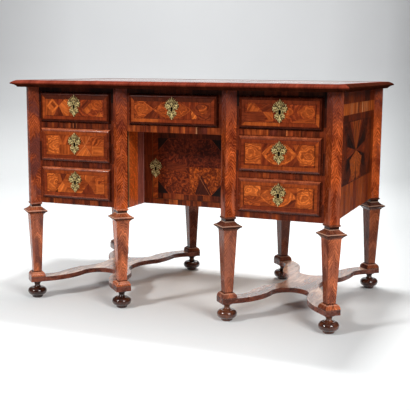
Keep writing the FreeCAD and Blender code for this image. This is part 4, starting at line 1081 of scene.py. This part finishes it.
class Relief:
    """Raised work on a plate, in millimetres from its middle: across, up, and out of its face."""

    section_steps = 6
    scroll_steps = 22
    leaf_steps = 10
    boss_steps = 8
    sunk = -0.3

    def __init__(self):
        self.vertices = []
        self.faces = []

    def strand(self, path, half_widths, heights, closed=False):
        """A rounded strand along a path, from its half width and its height at each point."""
        count = len(path)
        start = len(self.vertices)
        turns = [math.pi * k / self.section_steps for k in range(self.section_steps + 1)]
        around = len(turns) + 2
        for k, (u, v) in enumerate(path):
            before = path[k - 1] if closed else path[max(k - 1, 0)]
            after = path[(k + 1) % count] if closed else path[min(k + 1, count - 1)]
            run = math.hypot(after[0] - before[0], after[1] - before[1])
            nu, nv = (before[1] - after[1]) / run, (after[0] - before[0]) / run
            width = half_widths[k]
            ring = [(math.cos(a) * width, math.sin(a) * heights[k]) for a in turns]
            ring += [(-width, self.sunk), (width, self.sunk)]
            for side, out in ring:
                self.vertices.append(Vector((u + nu * side, -out, v + nv * side)) * MM)
        for k in range(count if closed else count - 1):
            here, there = start + k * around, start + (k + 1) % count * around
            for j in range(around):
                turn = (j + 1) % around
                self.faces.append((here + j, there + j, there + turn, here + turn))
        if not closed:
            self.faces.append(tuple(start + j for j in range(around)))
            self.faces.append(tuple(start + (count - 1) * around + j for j in reversed(range(around))))

    def both(self, path, half_widths, heights):
        """The same strand on the right and, mirrored, on the left."""
        self.strand(path, half_widths, heights)
        self.strand([(-u, v) for u, v in reversed(path)], half_widths[::-1], heights[::-1])

    def scroll(self, cu, cv, radii, angles, thick, high):
        """A volute about a centre: it thins from its middle to both its ends."""
        path, swells = [], []
        for k in range(self.scroll_steps + 1):
            share = k / self.scroll_steps
            radius = radii[0] + (radii[1] - radii[0]) * share
            angle = math.radians(angles[0] + (angles[1] - angles[0]) * share)
            path.append((cu + radius * math.cos(angle), cv + radius * math.sin(angle)))
            swells.append(0.45 + 0.55 * math.sin(math.pi * min(1.0, share * 1.3 + 0.1)))
        self.both(path, [thick * swell for swell in swells], [high * swell for swell in swells])

    def leaf(self, cu, cv, angle, length, width, high, bend=0.0):
        """A pointed leaf that may bend to one side."""
        turn = math.radians(angle)
        path, widths, heights = [], [], []
        for k in range(self.leaf_steps + 1):
            share = k / self.leaf_steps
            along = length * share
            off = bend * math.sin(math.pi * share / 2)
            path.append((cu + along * math.cos(turn) - off * math.sin(turn),
                         cv + along * math.sin(turn) + off * math.cos(turn)))
            swell = max(0.08, math.sin(math.pi * (share * 0.9 + 0.1)) ** 0.8)
            widths.append(width / 2 * swell)
            heights.append(high * max(0.3, swell))
        draw = self.strand if cu == 0 and angle == 90 else self.both
        draw(path, widths, heights)

    def leaves(self, places, width, high, bend):
        """Leaves of one width, each from its root, its angle and its length."""
        for cu, cv, angle, length in places:
            self.leaf(cu, cv, angle, length, width, high, bend)

    def boss(self, cu, cv, radius, high):
        turns = [math.pi * (k / self.boss_steps - 0.5) for k in range(self.boss_steps + 1)]
        path = [(cu + radius * math.sin(a) * 0.98, cv) for a in turns]
        swells = [max(0.12, math.cos(a)) for a in turns]
        self.both(path, [radius * swell for swell in swells], [high * swell for swell in swells])


def plate_relief():
    r = Relief()
    # Rim of the key hole, drawn out downward over its slot
    count = 28
    turns = [math.tau * k / count for k in range(count)]
    rim = [(6.2 * math.cos(a), 6.2 * math.sin(a) - (5.5 if math.sin(a) < -0.3 else 0.0)) for a in turns]
    r.strand(rim, [1.2] * count, [2.0] * count, closed=True)
    # Shoulders: a large volute, and leaves that break outward
    r.scroll(15.2, 8.6, (7.6, 3.4), (-160, 150), 2.3, 3.2)
    r.boss(15.4, 8.6, 3.2, 2.8)
    r.leaves([(18.4, 15.4, 66, 8.5), (21.2, 10.5, 40, 5.0), (20.8, 4.0, -16, 4.4),
              (16.4, 0.6, -52, 6.5), (6.8, 5.0, 62, 10.5), (9.6, 1.0, 20, 6.0)], 3.0, 2.6, 0.8)
    # Crest: a bud among rays that open like a fan
    r.leaf(0.0, 22.0, 90, 17.0, 3.4, 3.4)
    r.leaves([(2.4, 20.0, 72, 14.5), (5.4, 18.0, 60, 14.5), (9.0, 16.6, 50, 12.0),
              (3.4, 12.0, 74, 8.0)], 2.2, 2.6, -0.6)
    r.leaf(0.0, 7.6, 90, 13.0, 4.4, 3.0)
    # Waist and lower volutes
    r.scroll(9.8, -15.5, (5.8, 2.6), (120, -170), 2.0, 3.0)
    r.boss(9.8, -15.6, 2.4, 2.5)
    r.leaves([(8.6, -6.6, 24, 6.0), (14.4, -12.0, -20, 3.8), (13.6, -18.5, -40, 4.8),
              (8.8, -21.4, -64, 6.4), (5.2, -12.4, -98, 10.5), (6.0, -4.0, -70, 6.0)], 3.2, 2.6, 0.6)
    # Drop: a pendent leaf between two small ones
    r.leaf(0.0, -37.0, 90, 24.0, 5.6, 3.4)
    r.leaf(2.8, -23.0, -72, 9.5, 3.4, 2.8, 0.8)
    return new_mesh("key_plate_relief", r.vertices, r.faces, GILT, smooth=True)


def key_hole_mesh():
    """Painted shade for a key hole: a thin dark plate that fills it and a margin about its edge."""
    ring = oval(0, 0, 4.3, 4.3, 12)
    outline = ring[-2:] + ring[:9] + [(-2.4, -10.6), (2.4, -10.6)]
    count = len(outline)
    vertices = [Vector((u, depth, v)) * MM for depth in (-0.2, 2.2) for u, v in outline]
    faces = [tuple(range(count)), tuple(reversed(range(count, 2 * count)))]
    for k in range(count):
        following = (k + 1) % count
        faces.append((k, count + k, count + following, following))
    return new_mesh("key_hole_shade", vertices, faces, KEY_HOLE_SHADE)


DOOR_PLATE_INSET = 0.012
DOOR_PLATE_SHRINK = 0.92


def dress_plates():
    meshes = {"plate_relief": plate_relief(), "key_hole": key_hole_mesh()}
    for name in [f"drawer_{drawer}" for drawer in PATTERNS] + ["door"]:
        low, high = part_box(f"{name}_lock")
        middle = (low + high) / 2
        for kind, mesh in meshes.items():
            piece = new_object(f"{name}_{kind}", mesh)
            piece.location = (middle.x, low.y, middle.z)
            if name == "door":
                piece.location.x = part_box("door_panel")[0].x + DOOR_PLATE_INSET
                piece.scale = (DOOR_PLATE_SHRINK, 1.0, DOOR_PLATE_SHRINK)
            fit_piece(piece, name)


# Stretchers: a sheet of veneer over each, pale with painted reflection

def dress_stretcher(side_name, thick=0.2 * MM):
    """A thin sheet of veneer that covers the stretcher's whole upper face, pale with painted reflection."""
    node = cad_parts[f"stretcher_{side_name}"]
    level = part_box(f"stretcher_{side_name}")[1].z
    spots = [node.matrix_world @ vertex.co for vertex in node.data.vertices]
    number_of = {}
    rings = []
    for polygon in node.data.polygons:
        if all(abs(spots[k].z - level) < 0.05 * MM for k in polygon.vertices):
            corners = [(round(spots[k].x, 6), round(spots[k].y, 6)) for k in polygon.vertices]
            rings.append([number_of.setdefault(corner, len(number_of)) for corner in corners])
    count = len(number_of)
    vertices = [(x, y, level) for x, y in number_of] + [(x, y, level + thick) for x, y in number_of]
    edges = [(a, b) for ring in rings for a, b in zip(ring, ring[1:] + ring[:1])]
    shared = set(edges)
    faces = [[count + k for k in ring] for ring in rings] + [ring[::-1] for ring in rings]
    faces += [(a, b, count + b, count + a) for a, b in edges if (b, a) not in shared]
    name = f"stretcher_{side_name}_top"
    sheet = new_object(name, new_mesh(name, vertices, faces, STRETCHER_TOP_REFLECTION))
    fit_piece(sheet, CARCASE)


# Each panel takes its random shades in turn, so the order here is part of the look
for drawer in PATTERNS:
    dress_drawer(drawer)
dress_front_frame()
dress_cupboard_frame()
dress_door()
dress_plates()
for one_side in SIDES:
    dress_side(one_side)
dress_kneehole()
dress_back()
dress_top()
for one_side in SIDES:
    dress_stretcher(one_side)

# The CAD nodes' materials and slots: the first pattern that fits a name is used
PAINTS = (
    ("post_*", POST_WOOD, "post_veneer"),
    ("leg_*", LEG_WOOD, "leg_veneer"),
    ("foot_front_[34]", PALE_FOOT_WOOD, "dark_turned_wood"),
    ("foot_*", FOOT_WOOD, "dark_turned_wood"),
    ("top_edge_moulding", EDGE_WOOD, "top_veneer"),
    ("stretcher_*", STRETCHER_WOOD, "stretcher_veneer"),
    ("*_lock", GILT_GROUND, "gilt_brass"),
    ("door_hinges_*", GILT, "gilt_brass"),
    ("door_panel", MOULDING_WOOD, "parquetry_veneer"),
    ("front_frame", MOULDING_WOOD, "parquetry_veneer"),
    ("drawer_*_box", OAK, "oak"),
    ("dust_boards", OAK, "oak"),
    ("cupboard_frame", OAK_UPRIGHT, "oak"),
    ("side_panel_*", OAK_UPRIGHT, "oak"),
    ("kneehole_sides", OAK_UPRIGHT, "oak"),
    ("back_panels", OAK_UPRIGHT, "oak"),
)
for node_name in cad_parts:
    for pattern, material, slot in PAINTS:
        if fnmatch(node_name, pattern):
            paint(node_name, material)
            break


# Camera, from the photograph's own perspective: its lens in millimetres, its turns in radians

LENS = 75.25
SENSOR = 36.0
PITCH = 0.1586
YAW = 0.3891
ROLL = 0.0069
EYE = (1.1841, -2.9168, 0.8362)


def set_camera():
    forward = Vector((-math.sin(YAW) * math.cos(PITCH), math.cos(YAW) * math.cos(PITCH), -math.sin(PITCH)))
    side = Vector((math.cos(YAW), math.sin(YAW), 0))
    up = side.cross(forward)
    right = side * math.cos(ROLL) + up * math.sin(ROLL)
    top = up * math.cos(ROLL) - side * math.sin(ROLL)
    data = bpy.data.cameras.new("photo_camera")
    data.lens = LENS
    data.sensor_width = data.sensor_height = SENSOR
    camera = new_object("photo_camera", data)
    turn = Matrix((right, top, -forward)).transposed()
    camera.matrix_world = Matrix.Translation(EYE) @ turn.to_4x4()
    bpy.context.scene.camera = camera


# Round floor that sweeps up into a wall behind every view

FLOOR_RADIUS = 3.6
SWEEP_RADIUS = 1.5
SWEEP_STEPS = 12
WALL_HEAD = 4.6
STAGE_SIDES = 96


def make_stage():
    profile = [(2.0, 0.0), (FLOOR_RADIUS, 0.0)]
    for k in range(1, SWEEP_STEPS + 1):
        a = math.pi / 2 * k / SWEEP_STEPS
        profile.append((FLOOR_RADIUS + SWEEP_RADIUS * math.sin(a), SWEEP_RADIUS * (1 - math.cos(a))))
    profile.append((FLOOR_RADIUS + SWEEP_RADIUS, WALL_HEAD))
    vertices = [(0, 0, 0)]
    for radius, height in profile:
        vertices += [(x, y, height) for x, y in oval(0, 0, radius, radius, STAGE_SIDES)]
    faces = [(0, 1 + k, 1 + (k + 1) % STAGE_SIDES) for k in range(STAGE_SIDES)]
    for ring in range(len(profile) - 1):
        first = 1 + ring * STAGE_SIDES
        for k in range(STAGE_SIDES):
            a, b = first + k, first + (k + 1) % STAGE_SIDES
            faces.append((a, a + STAGE_SIDES, b + STAGE_SIDES, b))
    mesh = new_mesh("studio_sweep", vertices, faces, backdrop_paint(), smooth=True)
    new_object("studio_sweep", mesh)


def make_world():
    world = bpy.data.worlds.new("studio")
    world.use_nodes = True
    background = world.node_tree.nodes["Background"]
    background.inputs["Color"].default_value = (0.95, 0.97, 1.0, 1)
    background.inputs["Strength"].default_value = 0.36
    bpy.context.scene.world = world


# Each light's place, what it points at, its width and height in metres, and its power in watts
LIGHTS = {
    "overhead": ((0.2, 0.6, 3.3), (0.1, 0.0, 0.0), (0.45, 0.35), 94.0),
    "back_light": ((-0.2, 3.2, 2.7), (0.0, 0.0, 0.2), (1.2, 0.5), 34.0),
    "wall_light": ((-1.5, 3.2, 2.7), (-1.9, 4.6, 1.3), (0.8, 0.6), 19.0),
    "left_key": ((-1.7, -2.8, 2.3), (-0.1, -0.2, 0.5), (0.5, 0.5), 72.0),
    "right_key": ((2.6, -2.1, 2.3), (0.1, -0.2, 0.5), (1.3, 1.3), 72.0),
}


def area_light(name, place, aim, size, power):
    data = bpy.data.lights.new(name, "AREA")
    data.shape = "RECTANGLE"
    data.size, data.size_y = size
    data.energy = power
    light = new_object(name, data)
    light.location = place
    light.rotation_mode = "QUATERNION"
    light.rotation_quaternion = (Vector(aim) - Vector(place)).to_track_quat("-Z", "Y")


set_camera()
make_stage()
make_world()
for light_name, facts in LIGHTS.items():
    area_light(light_name, *facts)
bpy.context.scene.view_settings.view_transform = "Standard"
